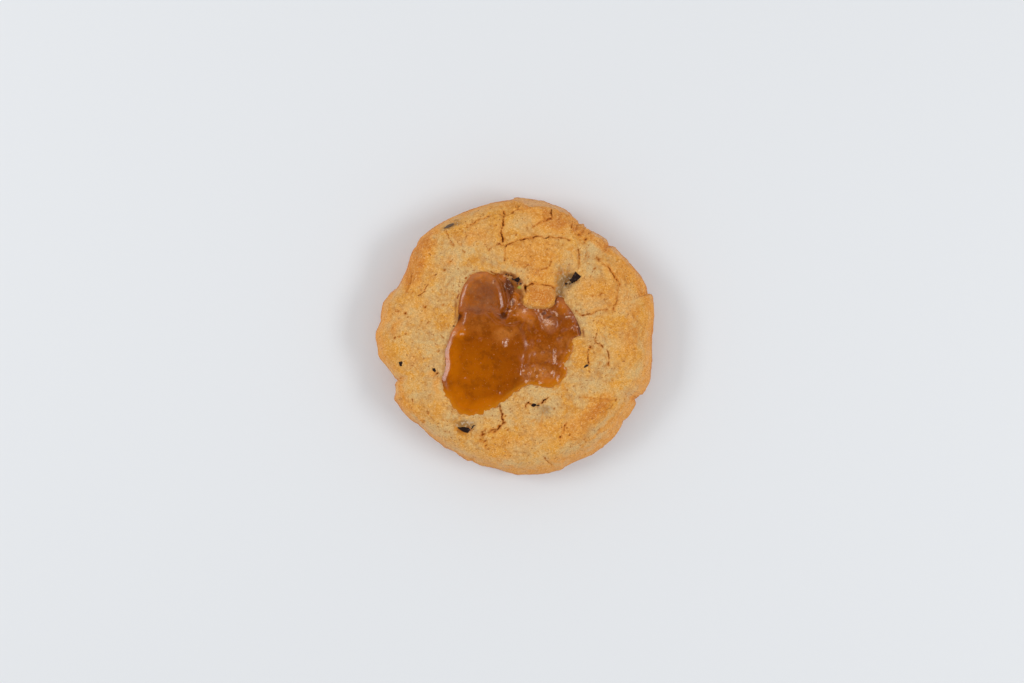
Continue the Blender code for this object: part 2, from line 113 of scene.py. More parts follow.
def subdivide_faces(obj, chosen, smoothness=1.0):
    """Splits the chosen faces in four, with a little of the surface's own curve."""
    select_only(obj)
    bpy.ops.object.mode_set(mode="EDIT")
    bpy.ops.mesh.select_mode(type="FACE")
    bpy.ops.mesh.select_all(action="DESELECT")
    bpy.ops.object.mode_set(mode="OBJECT")
    obj.data.polygons.foreach_set("select", chosen)
    bpy.ops.object.mode_set(mode="EDIT")
    bpy.ops.mesh.subdivide(number_cuts=1, smoothness=smoothness)
    bpy.ops.object.mode_set(mode="OBJECT")


def face_values(obj, what):
    """The centre in millimetres, or the normal, of every face, as x, y and z arrays."""
    flat = np.empty(len(obj.data.polygons) * 3, np.float32)
    obj.data.polygons.foreach_get(what, flat)
    return flat.astype(float).reshape(-1, 3).T / (MM if what == "center" else 1)


def underside(obj):
    """Which faces belong to the flat base."""
    return (face_values(obj, "normal")[2] < -0.99) & (face_values(obj, "center")[2] < 0.01)


def copy_nodes(name, *nodes):
    """One new object holding merged copies of these CAD nodes."""
    bpy.ops.object.select_all(action="DESELECT")
    copies = []
    for node in nodes:
        copy = bpy.data.objects.new(name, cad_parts[node].data.copy())
        bpy.context.scene.collection.objects.link(copy)
        copy.data.materials.clear()
        copies.append(copy)
    select_only(copies[0])
    for copy in copies[1:]:
        copy.select_set(True)
    if len(copies) > 1:
        bpy.ops.object.join()
    bpy.ops.object.mode_set(mode="EDIT")
    bpy.ops.mesh.select_all(action="SELECT")
    bpy.ops.mesh.remove_doubles(threshold=1e-6)
    bpy.ops.object.mode_set(mode="OBJECT")
    copies[0].name = name
    return copies[0]


# %% [markdown]
# ## Rules that turn a place into a shape
# Baked dough has no straight lines, so its relief is built from three simple rules: soft noise,
# elliptical mounds, and creases that follow a given line. Each takes whole arrays of places
# and gives an array of heights, so one call shapes a hundred thousand points.

# %% Noise, mounds, lines and steps


def rough(x, y, z, size, seed=0.0):
    """Smooth random values from -1 to 1, in lumps of about this many millimetres."""
    places = np.stack([x, y, z], axis=1) / size + seed
    return np.array([noise.noise(Vector(place)) for place in places])


def cells(x, y, z, size, seed=0.0):
    """How far each place is from the nearest and the next of points scattered this far apart."""
    places = np.stack([x, y, z], axis=1) / size + seed
    return np.array([noise.voronoi(Vector(place))[0][:2] for place in places]).T


def step(low, high, value):
    """Rises smoothly from 0 at low to 1 at high."""
    t = np.clip((value - low) / (high - low), 0, 1)
    return t * t * (3 - 2 * t)


def mound(x, y, spot, sharp=1.0):
    """A soft ellipse: 1 in the middle and near 0 past its half sizes. Sharp edges take 2 or 3."""
    cx, cy, half_length, half_width, turn = spot
    c, s = math.cos(math.radians(turn)), math.sin(math.radians(turn))
    along = ((x - cx) * c + (y - cy) * s) / half_length
    across = ((y - cy) * c - (x - cx) * s) / half_width
    return np.exp(-((along**2 + across**2) ** sharp))


def mounds(x, y, table, sharp=1.0):
    """The strongest of several mounds, each with its own amount at the end of its row."""
    value = np.zeros_like(x)
    for *spot, amount in table:
        value = np.maximum(value, amount * mound(x, y, spot, sharp))
    return value


FAR = 99.0  # further than anything on the cookie, in millimetres


def beside_line(x, y, points):
    """Distance in plan to a chain of straight runs, below 0 on the right of its direction."""
    nearest = np.full(x.shape, FAR)
    for (ax, ay), (bx, by) in zip(points[:-1], points[1:]):
        run_x, run_y = bx - ax, by - ay
        share = np.clip(((x - ax) * run_x + (y - ay) * run_y) / (run_x**2 + run_y**2), 0, 1)
        gap_x, gap_y = x - ax - share * run_x, y - ay - share * run_y
        gap = np.copysign(np.hypot(gap_x, gap_y), run_x * gap_y - run_y * gap_x)
        nearest = np.where(np.abs(gap) < np.abs(nearest), gap, nearest)
    return nearest


def between_ends(x, y, points, low, high):
    """0 up to low from either end of a line, and 1 further than high from both."""
    (ax, ay), (bx, by) = points[0], points[-1]
    return step(low, high, np.minimum(np.hypot(x - ax, y - ay), np.hypot(x - bx, y - by)))


def lips(x, y, table):
    """Edges of crust that stand over their surroundings: each row is a height and the line's
    points, with the raised side on the left. Gives the rise, and the shade right below."""
    rise, shade = np.zeros_like(x), np.zeros_like(x)
    for height, points in table:
        left = beside_line(x, y, points)
        ends = between_ends(x, y, points, 0.3, 1.6)
        bank = np.where(left > 0, np.exp(-((left / 1.9) ** 2)), np.exp(-((left / 0.22) ** 2)))
        rise = np.maximum(rise, height * bank * ends)
        shade = np.maximum(shade, height * np.exp(-(((left + 0.3) / 0.3) ** 2)) * ends)
    return rise, shade


def lines(x, y, table, spread=1.0):
    """The deepest of several creases: each row is a half width, a depth and the line's points."""
    depth = np.zeros_like(x)
    for half_width, deep, points in table:
        near = beside_line(x, y, points) / (half_width * spread)
        depth = np.maximum(depth, deep * np.exp(-(near**2)))
    return depth


print("a mound is", mound(np.array([0.0, 1.0]), np.zeros(2), (0, 0, 1, 1, 0)).round(2), "at 0 and 1")

# %% [markdown]
# ## Where the caramel ends
# Much depends on the distance to the shore of the pool: the dough dips towards it, and the
# caramel is thinner and lighter there. The caramel's own solid has upright sides, so the nearest
# point on it, taken half way up, gives that distance. It is negative inside the pool.

# %% Distance to the shore, and how high the caramel stands just inside it
HALF_WAY_UP = 16.0 * MM
ABOVE = 40.0 * MM
POOL_MIDDLE_Y, POOL_REACH = -2, 33  # the pool lies within this reach, in millimetres
OPEN_CRUST, CRUST_HEIGHT = 40.0, 20.0  # distance and height given to places out of its reach
SHORE_BAND = 3.5  # how near the shore a place needs the caramel's height
INLAND = 2.4  # how far inside the shore that height is read
DEEP_INSIDE = 3.7  # distances inside the pool are counted up to this


def node_tree_of(node):
    """A search tree over one CAD node's faces."""
    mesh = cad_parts[node].data
    corners = [v.co.copy() for v in mesh.vertices]
    return BVHTree.FromPolygons(corners, [tuple(p.vertices) for p in mesh.polygons])


def height_on(tree, x, y):
    """Height of the surface under a place, all in millimetres, or None where there is none."""
    hit = tree.ray_cast(Vector((x * MM, y * MM, ABOVE)), Vector((0, 0, -1)))[0]
    return hit.z / MM if hit else None


pool_tree = node_tree_of("caramel_pool")


def shore_of(x, y):
    """Millimetres to the pool's outline, negative inside, and the caramel's height near there."""
    distance, height = np.full(x.shape, OPEN_CRUST), np.full(x.shape, CRUST_HEIGHT)
    for i in np.flatnonzero(np.hypot(x, y - POOL_MIDDLE_Y) < POOL_REACH):
        at = Vector((x[i] * MM, y[i] * MM, HALF_WAY_UP))
        spot, normal, _, _ = pool_tree.find_nearest(at)
        gap = at - spot
        distance[i] = math.copysign(gap.length / MM, gap.dot(normal))
        if abs(distance[i]) < SHORE_BAND:
            inside = spot / MM - normal * INLAND
            height[i] = height_on(pool_tree, inside.x, inside.y) or CRUST_HEIGHT
    return np.maximum(distance, -DEEP_INSIDE), height


def flushness(x, y):
    """1 where the caramel spreads thin over the crumb, 0 where a step or a rim parts them."""
    low = step(-7, -13, y)
    right = mound(x, y, (18.5, -6.0, 4.0, 5.5, 0), 2.0)
    return np.maximum(low, right) * (1 - proudness(x, y))


def proudness(x, y):
    """1 along the left shore, where the caramel stands up with a fat rounded rim."""
    return mound(x, y, (-23.4, -9.0, 3.4, 8.6, -3), 3.0)


print("left shore:", shore_of(np.array([-24.0]), np.array([-8.0])), "mm away and high")

# %% [markdown]
# ## Cracks, pits and stains of the dough
# The crust dried before the inside had finished rising, so it tore. Each tear is a line with a
# half width and a depth in millimetres. Pits are where a bubble burst. Browned places stood
# closest to the heat, and grey ones have chocolate just under the surface, except in the valley
# beside the neck, where the grey is painted shade. They are all placed one by one, because that
# is what makes it this cookie and not just any.
#
# A lip is an edge of crust that stands over what lies on its other side. The side of the cookie
# tore too: a nick cuts into it, and a jump stands out on one side and falls back on the other.

# %% Tables of the dough's marks
# Wide valleys, then tears: half width, depth, points
VALLEYS = (
    (1.9, 1.3, ((18.8, 19), (17, 17.8), (15.4, 16.4), (14.8, 12.8))),
    (1.3, 0.7, ((15, 24), (14.7, 20), (14.6, 16))),
    (1.3, 0.35, ((36.5, -22.5), (33.8, -26.5), (31, -30), (27, -33.5))),
)
TEARS = (
    (0.35, 1.1, (
        (-8.2, 21.8), (-6.2, 21), (-4.6, 21.1), (-3.6, 20.8), (-2.6, 20.3), (-1.4, 20.5), (-0.2, 19.9),
    )),
    (0.3, 0.8, ((42.6, 14.8), (44.6, 14.5))),
    (0.3, 0.8, ((13.4, 17.4), (13.6, 16.4), (13.7, 15.2), (13.4, 13.8))),
    (0.42, 1.5, (
        (-4, 42), (-3.8, 41), (-4.2, 39), (-4, 37.5), (-4.8, 35.5), (-4.7, 34.4), (-4.2, 33), (-4.2, 32),
    )),
    (0.28, 0.8, ((-3.5, 40.3), (-2, 40.5), (-1, 42), (0.8, 42.5), (1.3, 44))),
    (0.28, 0.8, ((-9, 29.2), (-8.5, 29.8), (-7.5, 30.4), (-6, 31.2), (-5, 31), (-3.3, 30.6))),
    (0.22, 0.35, ((-13.5, 33.2), (-11, 32.3), (-9, 29.2))),
    (0.36, 1.2, (
        (-3, 30), (-1.5, 31), (0.5, 32), (3, 32.8), (6, 33.3), (7.7, 33.4), (9, 33.2), (10.5, 32.7),
        (12.5, 33.4), (14, 33.2), (16.5, 32.8), (18.3, 32.4),
    )),
    (0.34, 1, ((-3, 30), (-3.2, 28.5), (-3.3, 27), (-3.7, 25.7))),
    (0.25, 0.45, ((-1.5, 25), (1.5, 24), (3, 23.4), (4.5, 23.8))),
    (0.3, 0.7, ((12.2, 25.3), (11.5, 24), (10.3, 23), (9.3, 22.7), (8.5, 22.2))),
    (0.25, 0.5, ((7.5, 22.2), (7.9, 21), (8.2, 20), (9, 19))),
    (0.4, 1.3, (
        (3.2, 16.2), (4, 16.7), (5.5, 17.5), (7.3, 17.9), (9, 17.2), (11, 17.2), (12.5, 16.5),
        (13.4, 15.5),
    )),
    (0.4, 1, (
        (12, 41.8), (12.2, 40.5), (11.8, 39.5), (10.8, 39.3), (10, 39), (8.7, 38.3), (7.5, 37.8),
        (6, 37),
    )),
    (0.34, 0.9, ((-16, 37.3), (-14.5, 37.8), (-13, 38.2), (-12, 39.3), (-10.5, 40), (-8.5, 40.3))),
    (0.3, 0.9, ((21.2, 29.5), (21.3, 27.5), (21.5, 26), (21.7, 24.5), (21.4, 22.5))),
    (0.42, 1.1, (
        (27.7, 26.7), (28, 25.5), (29.5, 24.5), (31, 23), (32.7, 20.8), (34, 19), (34.8, 17.2), (34, 14),
        (34.2, 12), (33.2, 10.5), (33, 9),
    )),
    (0.25, 0.6, ((34.8, 21.9), (33.8, 21), (32.7, 20.8))),
    (0.28, 0.8, ((25.2, 13.9), (26.5, 13.6), (28, 13.7), (28.7, 14.3), (30, 14.5))),
    (0.32, 1, ((20.3, 8.5), (21.2, 7.8), (22.2, 7.2), (24.8, 7.4), (27.5, 8.6), (29, 8.9), (31, 9.2))),
    (0.28, 0.8, ((-26.3, 21.2), (-27.3, 20.5), (-28.3, 20))),
    (0.28, 0.8, ((-29, 18), (-30, 16.5), (-30.5, 15.2), (-32.3, 13.8))),
    (0.32, 0.9, ((-23.4, 35.5), (-22.8, 34), (-22.5, 33.2), (-21.6, 31.8))),
    (0.3, 0.8, ((-21.6, 31.1), (-20.5, 30.6))),
    (0.28, 0.7, ((-18, 29), (-17.1, 28.3))),
    (0.3, 0.6, ((-35, 25), (-34.8, 20), (-34.7, 18), (-35.8, 15.3), (-36.8, 14.6))),
    (0.28, 0.6, ((-40.5, 8.3), (-37.8, 9.2), (-36.6, 7.6))),
    (0.4, 1.1, ((-10.9, -33.5), (-11, -32.3), (-10, -31.8), (-9.5, -31))),
    (0.4, 1.1, (
        (-8, -31.6), (-6.3, -31.4), (-5.3, -30.8), (-4.5, -30.2), (-3.9, -29.3), (-4.1, -28),
        (-4, -26.2), (-5, -25), (-5, -23.2),
    )),
    (0.3, 0.8, ((-10, -35), (-10.8, -36.1), (-9, -38))),
    (0.34, 1.1, (
        (3.2, -23.6), (4.5, -22.8), (6.4, -23.1), (7.7, -23.5), (8.3, -22.8), (9.3, -21.9),
        (10.5, -21.3), (11, -20.7),
    )),
    (0.22, 0.5, ((11, -20.7), (12, -21.3), (13, -22), (14.3, -23))),
    (0.34, 1, ((17.3, -29.3), (16.8, -30.2), (16.3, -31.2), (16.5, -32), (15.7, -33.3), (15.3, -35))),
    (0.22, 0.5, ((16.8, -32), (19.8, -31.7), (21.3, -31.5), (21.8, -33), (22, -34))),
    (0.34, 0.9, ((10, -41), (11, -42.2), (12, -43.3), (12.5, -44.2))),
    (0.25, 0.5, ((4.5, -37), (7, -36.2), (9.5, -35.3))),
    (0.25, 0.5, ((17.5, -37.8), (15.7, -39.8), (15.3, -40.8))),
    (0.32, 1.2, ((24.9, -3.4), (25.1, -4.2), (24.6, -5), (24.4, -6), (24.6, -8), (24.7, -9))),
    (0.28, 0.8, ((27.2, 0.8), (27.1, -0.5), (26.9, -1), (27.5, -1.9), (28.7, -2.9), (29.2, -3.7))),
    (0.32, 1, ((31, -4.4), (31.5, -5.3), (31.5, -6.7), (31.3, -8), (31.5, -9.6))),
    (0.25, 0.6, ((27.3, 5.3), (28, 4.5), (29, 4.2), (30.4, 3))),
    (0.3, 0.7, ((22.1, -20.5), (26, -20.8), (28.3, -21), (30, -21.1), (34, -21.5))),
    (0.3, 0.7, ((-34.5, -21), (-34.3, -22.5), (-33.5, -23))),
    (0.3, 0.6, ((-30, -23.6), (-29.3, -25), (-29, -26.5), (-28, -27.8))),
    (0.25, 0.5, ((-24.8, -28), (-23.3, -28.6))),
    (0.22, 0.4, ((22.5, 20), (26, 20))),
    (0.3, 0.8, ((18.8, 38.5), (19, 37))),
    (0.25, 0.7, ((-24.9, 0.4), (-24.1, -0.7))),
    (0.25, 0.7, ((-21, 3.2), (-20.2, 4.8))),
)
# Raised plates of crust: x, y, half length, half width, turn in degrees, height
PLATES = (
    (5.5, 28.2, 9.6, 4.9, 5, 0.5), (8.7, 13.8, 5.4, 4.4, 0, 0.5), (7.6, 20.8, 5.4, 3.4, 0, 0.35),
    (27.6, 14.6, 8.2, 6.6, -28, 0.6), (17.6, 27.6, 3.6, 4.8, 5, 0.4), (-6.6, 28.2, 2.6, 2.3, 0, 0.4),
    (5, 37.6, 9, 3.4, 0, 0.35), (-11, 35.4, 6.6, 4.2, 20, 0.35), (27.4, -24.6, 7, 3.6, 42, 0.5),
    (20.6, -31.2, 3.8, 3.4, 0, 0.35), (-33.4, 24.2, 3.4, 5, 10, 0.4), (-31.4, 31, 5, 2.6, 45, 0.4),
    (36.5, -4, 4.6, 8.6, 0, 0.4), (-3, -36.4, 8.6, 4, 0, 0.35), (28, -3.6, 2.6, 4.4, 0, 0.3),
    (9, -31.5, 6.6, 3, 15, 0.3), (-28, -22, 5, 6, 30, 0.3), (-33, 8, 5, 6, 0, 0.3),
    (-25, 16, 4, 7, 15, 0.25), (27, 3.2, 4, 3, 10, 0.3), (31.5, 22.4, 4.2, 2, -50, 0.35),
    (38.6, 11, 2.6, 7, 12, 0.35), (13.4, 41, 3, 1.5, -20, 0.45), (17.6, 39.2, 2, 1.4, -40, 0.5),
    (10.8, 40.6, 1.4, 1.3, 0, 0.6), (24.4, 35.2, 2.4, 1.1, -35, 0.45), (21.4, 37, 1.5, 1, -45, 0.4),
    (1.6, 42.6, 3.4, 1.2, 5, 0.3), (-15, 40.4, 4, 1, 22, 0.25), (36, 20, 1.6, 4, 30, 0.3),
)
# Ridges of crust along the top of the smooth side: half width, height, points
RIDGES = (
    (0.7, 0.45, ((2, 44.3), (4, 43.5), (8, 43.3), (12, 42.2), (15, 41.4), (18, 40.8), (19.4, 39.6))),
    (0.7, 0.4, ((20.4, 37.8), (22.6, 36.4), (24, 35), (26, 33), (28, 32.2), (30.5, 31.2))),
    (0.6, 0.3, ((31.5, 29.6), (35, 26.6), (38, 23.4), (40.6, 19.6), (42.4, 15.6))),
    (0.6, 0.3, ((-33.6, 27.8), (-35.2, 24.2), (-36.2, 20.6), (-37.4, 17), (-39.8, 14.6))),
    (0.6, 0.35, ((-38.2, -15.6), (-38, -18), (-37.6, -20.6), (-35.4, -24), (-31.6, -28.2))),
    (0.7, 0.35, ((36.6, -23.6), (34.5, -26), (31, -30), (27, -33.5), (22.5, -37))),
    (0.5, 0.3, ((35.6, 8.6), (36, 12), (35.8, 16), (34, 20.4), (31, 24), (28.4, 26.6))),
)
# Lips of crust: height, and points with the raised side on their left
LIPS = (
    (0.75, (
        (19.4, 39.9), (17.5, 40.9), (15, 41.5), (13, 42.5), (10.5, 43.3), (8, 43.2), (5, 43.1),
        (3, 43.7), (1.5, 44.8),
    )),
    (0.85, ((31, 30.7), (29.6, 32), (27.2, 33), (25.2, 34.4), (23.4, 36), (22.6, 37.2))),
    (0.3, ((44, 15.2), (42.6, 17.4), (41, 20), (39.6, 22), (37.5, 25), (34.5, 28), (33.5, 29.4))),
    (0.55, ((-34.6, 26.2), (-34.8, 22), (-34.6, 19.6), (-34.6, 18), (-35.8, 15.7), (-37.4, 14.6))),
    (0.35, ((-30.2, 30.4), (-31.8, 29), (-32, 27.6), (-33.6, 26.6), (-34.6, 26.4))),
    (0.35, (
        (33.2, 8.5), (33.6, 11), (34, 14), (34.8, 17), (34.2, 19), (33, 20.5), (31, 22.8), (29.3, 24.8),
        (27.9, 26.2),
    )),
    (0.35, (
        (14, 33.1), (10.5, 32.7), (7.5, 33.3), (5, 33), (2, 32.3), (0, 31.5), (-1.7, 30.6), (-3, 29.5),
        (-3.2, 28), (-3.6, 26),
    )),
    (0.3, ((1.2, 24.4), (3, 23.4), (5, 23.9))),
    (0.4, ((8.3, 22.2), (10, 23), (11.4, 24), (12.4, 25.6))),
    (0.45, ((13.4, 15.4), (12.4, 16.7), (10, 17.2), (7.7, 17.9), (6, 17.5), (3.8, 16.6))),
    (0.35, ((13.6, 15.5), (13.7, 18), (14.2, 21), (14.6, 24.4))),
    (0.5, (
        (10.2, 42), (9.8, 41.2), (9.8, 40.2), (10.6, 39.4), (11.6, 39.4), (12.3, 40.2), (12.4, 41.2),
        (11.9, 42.1),
    )),
    (0.3, ((21.6, 22.6), (21.5, 25), (21.3, 27.5), (20.9, 29.9))),
    (0.3, ((21.4, -20.4), (24, -20.6), (27, -20.9), (31, -21.2), (34.4, -21.6))),
    (0.3, ((-39.2, -15.2), (-38.6, -17.5), (-38.4, -20), (-37.6, -22), (-35.8, -24.4))),
    (0.3, ((17.4, -28.8), (16.6, -30.6), (16.4, -32.2), (15.6, -34.4), (15.2, -35.6))),
    (0.3, ((-4.4, 33), (-5, 35), (-4.2, 38), (-3.8, 40.6))),
    (0.25, ((36, -24), (33.6, -27.2), (30.4, -30.6), (27.2, -33.2))),
    (0.25, ((12.6, -44.2), (11.4, -42.4), (9.8, -40.8))),
    (0.3, ((-16.5, 37), (-14, 38), (-12.8, 38.3), (-11, 39.8), (-8.6, 40.4))),
    (0.25, ((-26, 21.3), (-28.2, 20), (-29, 18.2), (-30.3, 16.2), (-32.6, 13.6))),
    (0.3, ((20.2, 8.7), (21.6, 7.5), (24.8, 7.4), (27.8, 8.8), (31.2, 9.4))),
    (0.3, ((-9.4, 28.8), (-7.6, 30.5), (-5.6, 31.2))),
)
# Where the side tore: degrees, half width in degrees, and how far it lies in (+) or out (-)
NICKS = (
    (44.1, 0.8, 0.5), (58.6, 0.7, -0.4), (60.6, 0.8, 0.35), (57, 0.8, 0.25), (-27.5, 0.9, 0.5),
    (200.7, 0.9, 0.7), (207.4, 1, -0.35), (250.9, 0.7, 0.35), (-50.6, 0.7, 0.25), (-38, 0.7, 0.25),
    (137.4, 0.8, 0.3), (141.2, 0.7, 0.25), (222, 0.8, 0.2), (-69, 0.8, 0.2), (33, 0.7, 0.15),
)
# Jumps of the side: degrees, and how far it falls back anticlockwise of them and stands out before
JUMPS = ((17.4, 0.55), (90.4, 0.25), (53.6, 0.2), (-24.6, -0.3))
# Dents, crumb soaked with caramel, and craggy places, all soft ellipses: x, y, half length, half
# width, turn in degrees, depth or amount
HOLLOWS = (
    (-18.4, -32, 2.1, 0.8, -30, 0.9), (-20, -30.4, 0.8, 0.4, -40, 0.4), (1.6, 18, 0.9, 0.5, -50, 0.6),
    (22.4, 21.6, 0.7, 0.4, 40, 0.3), (9.9, -21.5, 0.8, 0.3, 25, 0.4), (3.4, 16.4, 0.5, 1.3, 10, 1),
    (0.8, 13.4, 1.5, 2.4, -12, 0.9), (-0.3, 17.6, 1.3, 2.2, 12, 0.8),
)
SOAKED = (
    (0.9, 13.4, 1.7, 2.6, -12, 1.9), (-0.3, 17.4, 1.5, 2.6, 12, 1.9), (3.5, 15.8, 0.5, 1.2, 10, 1.4),
    (2.5, 11.4, 0.6, 0.9, -40, 1.1), (1.4, 18.4, 1.1, 0.9, -40, 1.6), (-3.2, 21.1, 1.8, 0.7, -15, 1.4),
    (-0.6, 20.4, 1.7, 0.8, -40, 1.5), (-19.9, 9, 0.6, 4, 0, 0.9), (14.6, 13, 1.2, 0.8, 20, 1.2),
    (22.9, 1.4, 0.5, 1.8, 10, 1),
)
CRAGS = (
    (0.6, 15.2, 1.6, 3.4, 5, 1), (9.5, 42.6, 4, 1, 0, 0.5), (16.4, 40.4, 2.6, 1.4, -25, 0.6),
    (20.6, 38.3, 3, 1.6, -50, 1), (23.2, 35.8, 2.4, 1, -35, 0.8), (30.8, 31.2, 2, 1.4, -50, 1),
    (44, 15, 1.8, 1.8, 0, 1), (40.8, -21.4, 2, 1.4, 0, 1), (-39.6, -15.4, 2, 2, 0, 1),
    (12.4, 41.2, 2.8, 1.2, -15, 0.8), (-36.6, 16.6, 2.4, 1.2, 50, 0.6), (-33, 28.6, 2, 2, 0, 0.5),
    (42.6, 17.6, 1.4, 1.8, 20, 0.6), (37.4, -27.2, 2, 1.4, 50, 0.5), (-31.6, -28.6, 3, 1.2, -45, 0.5),
)
# Burst bubbles: x, y, radius
PITS = (
    (21.4, 34.2, 0.85), (23.8, 32.6, 0.7), (26.8, 22.8, 0.5), (-21.6, 25.2, 0.4), (-23.8, 22.3, 0.5),
    (-24.2, 10.6, 0.5), (-37, 7.9, 0.5), (-36, 6.5, 0.4), (-40.5, -0.4, 0.5), (-39, -0.2, 0.4),
    (-36.8, 0.9, 0.4), (-25.7, -5, 0.4), (4.5, -22.3, 0.4), (-38.7, -14, 0.5), (-34.1, 20.1, 0.5),
    (-10.4, -33, 0.5), (-8.8, -32.3, 0.4), (-6.8, -32, 0.5), (-5.4, -30.2, 0.45), (-3.5, -28.9, 0.5),
    (-11.5, -34.8, 0.45), (-9.7, -36.6, 0.5), (-3.2, -26.8, 0.4), (-7.5, -34, 0.4), (-5.9, -23.6, 0.35),
    (-2.5, -31.4, 0.4), (17.6, -30.9, 0.4), (15.2, -33.9, 0.45), (18.3, -33.2, 0.4), (13.2, -24.4, 0.35),
    (-31, -29, 0.5), (-30.2, 9.8, 0.45), (10.3, -45.2, 0.5), (5.1, 27, 0.35), (-26.2, -12.5, 0.45),
)
# Soft ellipses of colour: x, y, half length, half width, turn in degrees, amount
BROWNED = (
    (-33, 28, 3.4, 3.6, 30, 1.6), (8.6, 14.2, 5, 4, 0, 1.3), (8, 21.4, 4.4, 3.2, 0, 0.8),
    (-41, 5, 4, 6, 0, 0.6), (-22, 25.5, 5, 3, 20, 0.45), (-15, 33, 7, 3.6, 10, 0.45),
    (-42.5, -10, 3, 4, 0, 0.5), (36, 10, 2.4, 5, 0, 0.35), (41.5, 0, 2.8, 6, 0, 0.4),
    (-30, -33, 6, 2, -42, 0.4), (20, -34.5, 5, 3, 10, 0.5), (-5, 19.5, 3, 1.2, -20, 0.5),
    (5, 24, 6, 2.4, 0, 0.5), (38.5, -25.5, 1.6, 4, -30, 0.5), (-38.5, 20, 1.4, 5, -25, 0.5),
    (-32, 31, 5.5, 3.2, 45, 0.9), (-33, 24.5, 4.5, 4.2, 20, 1), (-37, 17, 3, 2.6, 60, 0.6),
    (13, 38.4, 6, 3.2, -22, 1.4), (3, 43.4, 4, 1.6, 0, 0.5), (5.5, 27.5, 8, 4.5, 5, 0.35),
    (8.6, 13.8, 5.6, 4.4, 0, 0.65), (7, 20, 5, 3, 0, 0.5), (27, -25, 6, 2.8, 42, 1.05),
    (21, -29.6, 6, 3.6, 15, 0.7), (-6, -41, 7, 2.6, -8, 0.45), (-36.5, -24, 4, 2.6, -50, 0.6),
    (40, 3, 4, 9, 0, 0.45), (22, -5, 2.6, 3.6, 0, 0.35), (-43, -8, 3, 5, 0, 0.35),
    (30, 30.5, 5, 2.4, -45, 0.5), (2, -34, 8, 4, 0, 0.2), (-7.5, 24.6, 4, 1.6, -10, 0.15),
    (-31.5, 30, 4.6, 3.4, 60, 1.6), (-35, 23.5, 2.6, 6, 12, 1.6), (-36.6, 21, 1.3, 5.5, 12, 1.9),
    (-30.6, 32.6, 5.5, 1.4, 47, 1.8), (-27.5, 35.6, 2.4, 1.6, 40, 0.9), (46.6, 2, 1.2, 12, 0, 0.9),
    (-42.6, 5, 3, 9, 0, 0.45), (-27, -14.5, 2.4, 4.6, 0, 0.6), (13.6, 40.4, 5, 2.4, -24, 0.7),
    (20.6, 36.2, 4, 2, -45, 1.2), (-35, -8, 3, 4, 0, 0.35), (36, 21, 3, 5, 30, 0.6),
    (44.2, 18.6, 1, 4, 22, 1), (38.6, -26.6, 1, 5, -38, 0.9), (-38.6, -22, 2, 4, 10, 0.7),
    (8, 25, 5, 3, 0, 0.4), (45.2, -12, 1.2, 7, 8, 0.6), (27.6, 32.6, 6.5, 1.5, -42, 1.3),
    (40.5, 22, 1.4, 7, 35, 0.6), (16, -32, 9, 5, 10, 0.25), (10, 20.6, 4, 2, 0, 0.3),
    (-31, 8, 3, 7, 20, 0.15), (38, 12, 3, 5, 0, 0.3),
)
# Grey has two causes here: chocolate under the crust, and painted shade in the valley beside the neck (the
# rows round x 15 to 18, y 14 to 22)
GREYED_AND_SHADED = (
    (15.6, 18, 2.6, 6, -10, 1), (15.2, 14.4, 2, 2.4, 0, 1.2), (18.4, 19.6, 2.2, 2.2, 0, 1.1),
    (17.4, 17.8, 2.4, 2, 0, 1.1), (0.4, 16.4, 0.5, 1.2, 0, 1), (14.4, 22, 0.8, 3, 5, 0.6),
    (-17, -28.6, 4.4, 1.2, -6, 0.7), (17.9, 18.6, 3, 1.8, 48, 1.1), (15.2, 15.4, 3.4, 1.8, 75, 1),
    (-17, -29.4, 3.8, 1.4, -8, 1.3), (9.8, -24.6, 2.6, 2, 0, 0.8), (21.8, 27.3, 1.8, 1.6, 0, 0.45),
    (-32, 13.5, 1, 1.2, 0, 0.5), (6.8, -27.5, 1.6, 0.8, 0, 0.4), (-21.5, 37.5, 3.6, 1.1, 26, 1.3),
    (-32.5, 27.5, 1.6, 1.2, 20, 0.6), (22.3, -11.9, 0.8, 0.6, 0, 0.6), (27, -18, 3, 1.6, 10, 0.3),
    (40.8, 6.6, 0.7, 0.6, 0, 0.5), (-31.5, -30, 2.4, 1.4, 30, 0.25), (-30, -20, 4.5, 4.5, 0, 0.3),
    (24.6, -9.4, 1.5, 1, 30, 0.4), (-37.5, -17, 2, 2.4, 0, 0.2),
)
COCOA = (
    (17.3, 17.7, 0.5, 0.45, 20, 1), (18.6, 17.6, 0.45, 0.4, 35, 0.9), (18.7, 19.2, 0.6, 0.3, 15, 0.9),
    (17.1, 16.9, 0.4, 0.3, 0, 0.7), (4.4, 16.8, 0.5, 0.25, 20, 0.9), (0.6, 18.7, 0.9, 0.5, 0, 1),
    (1.8, 17.9, 0.35, 0.35, 0, 1), (-0.9, 19.4, 0.7, 0.3, -30, 0.9), (0.9, 17.9, 0.5, 0.3, 60, 0.8),
    (8.1, -23.2, 0.5, 0.16, 30, 0.7), (9.9, -21.4, 0.7, 0.2, 22, 0.9), (7.9, -23.4, 0.9, 0.22, -5, 0.9),
    (-1.8, 20.4, 0.9, 0.25, -25, 0.8), (-3, 20.9, 0.6, 0.2, 20, 0.8), (-14.1, -30.2, 0.8, 0.24, 20, 1),
    (-20.6, 3.4, 0.3, 0.4, 0, 0.7), (-24.4, 10.6, 0.35, 0.25, 0, 0.8), (24.6, -4.4, 0.2, 0.3, 0, 0.7),
    (24.6, -6, 0.2, 0.3, 0, 0.6), (15.4, -22.3, 0.35, 0.3, 0, 0.5), (-23.4, 37.1, 1.1, 0.22, 35, 0.8),
    (-26.1, -12.4, 0.3, 0.25, 0, 0.8), (-14.6, -30.9, 0.9, 0.22, 35, 0.9),
    (-19.2, -30.6, 0.8, 0.2, -20, 0.8),
)
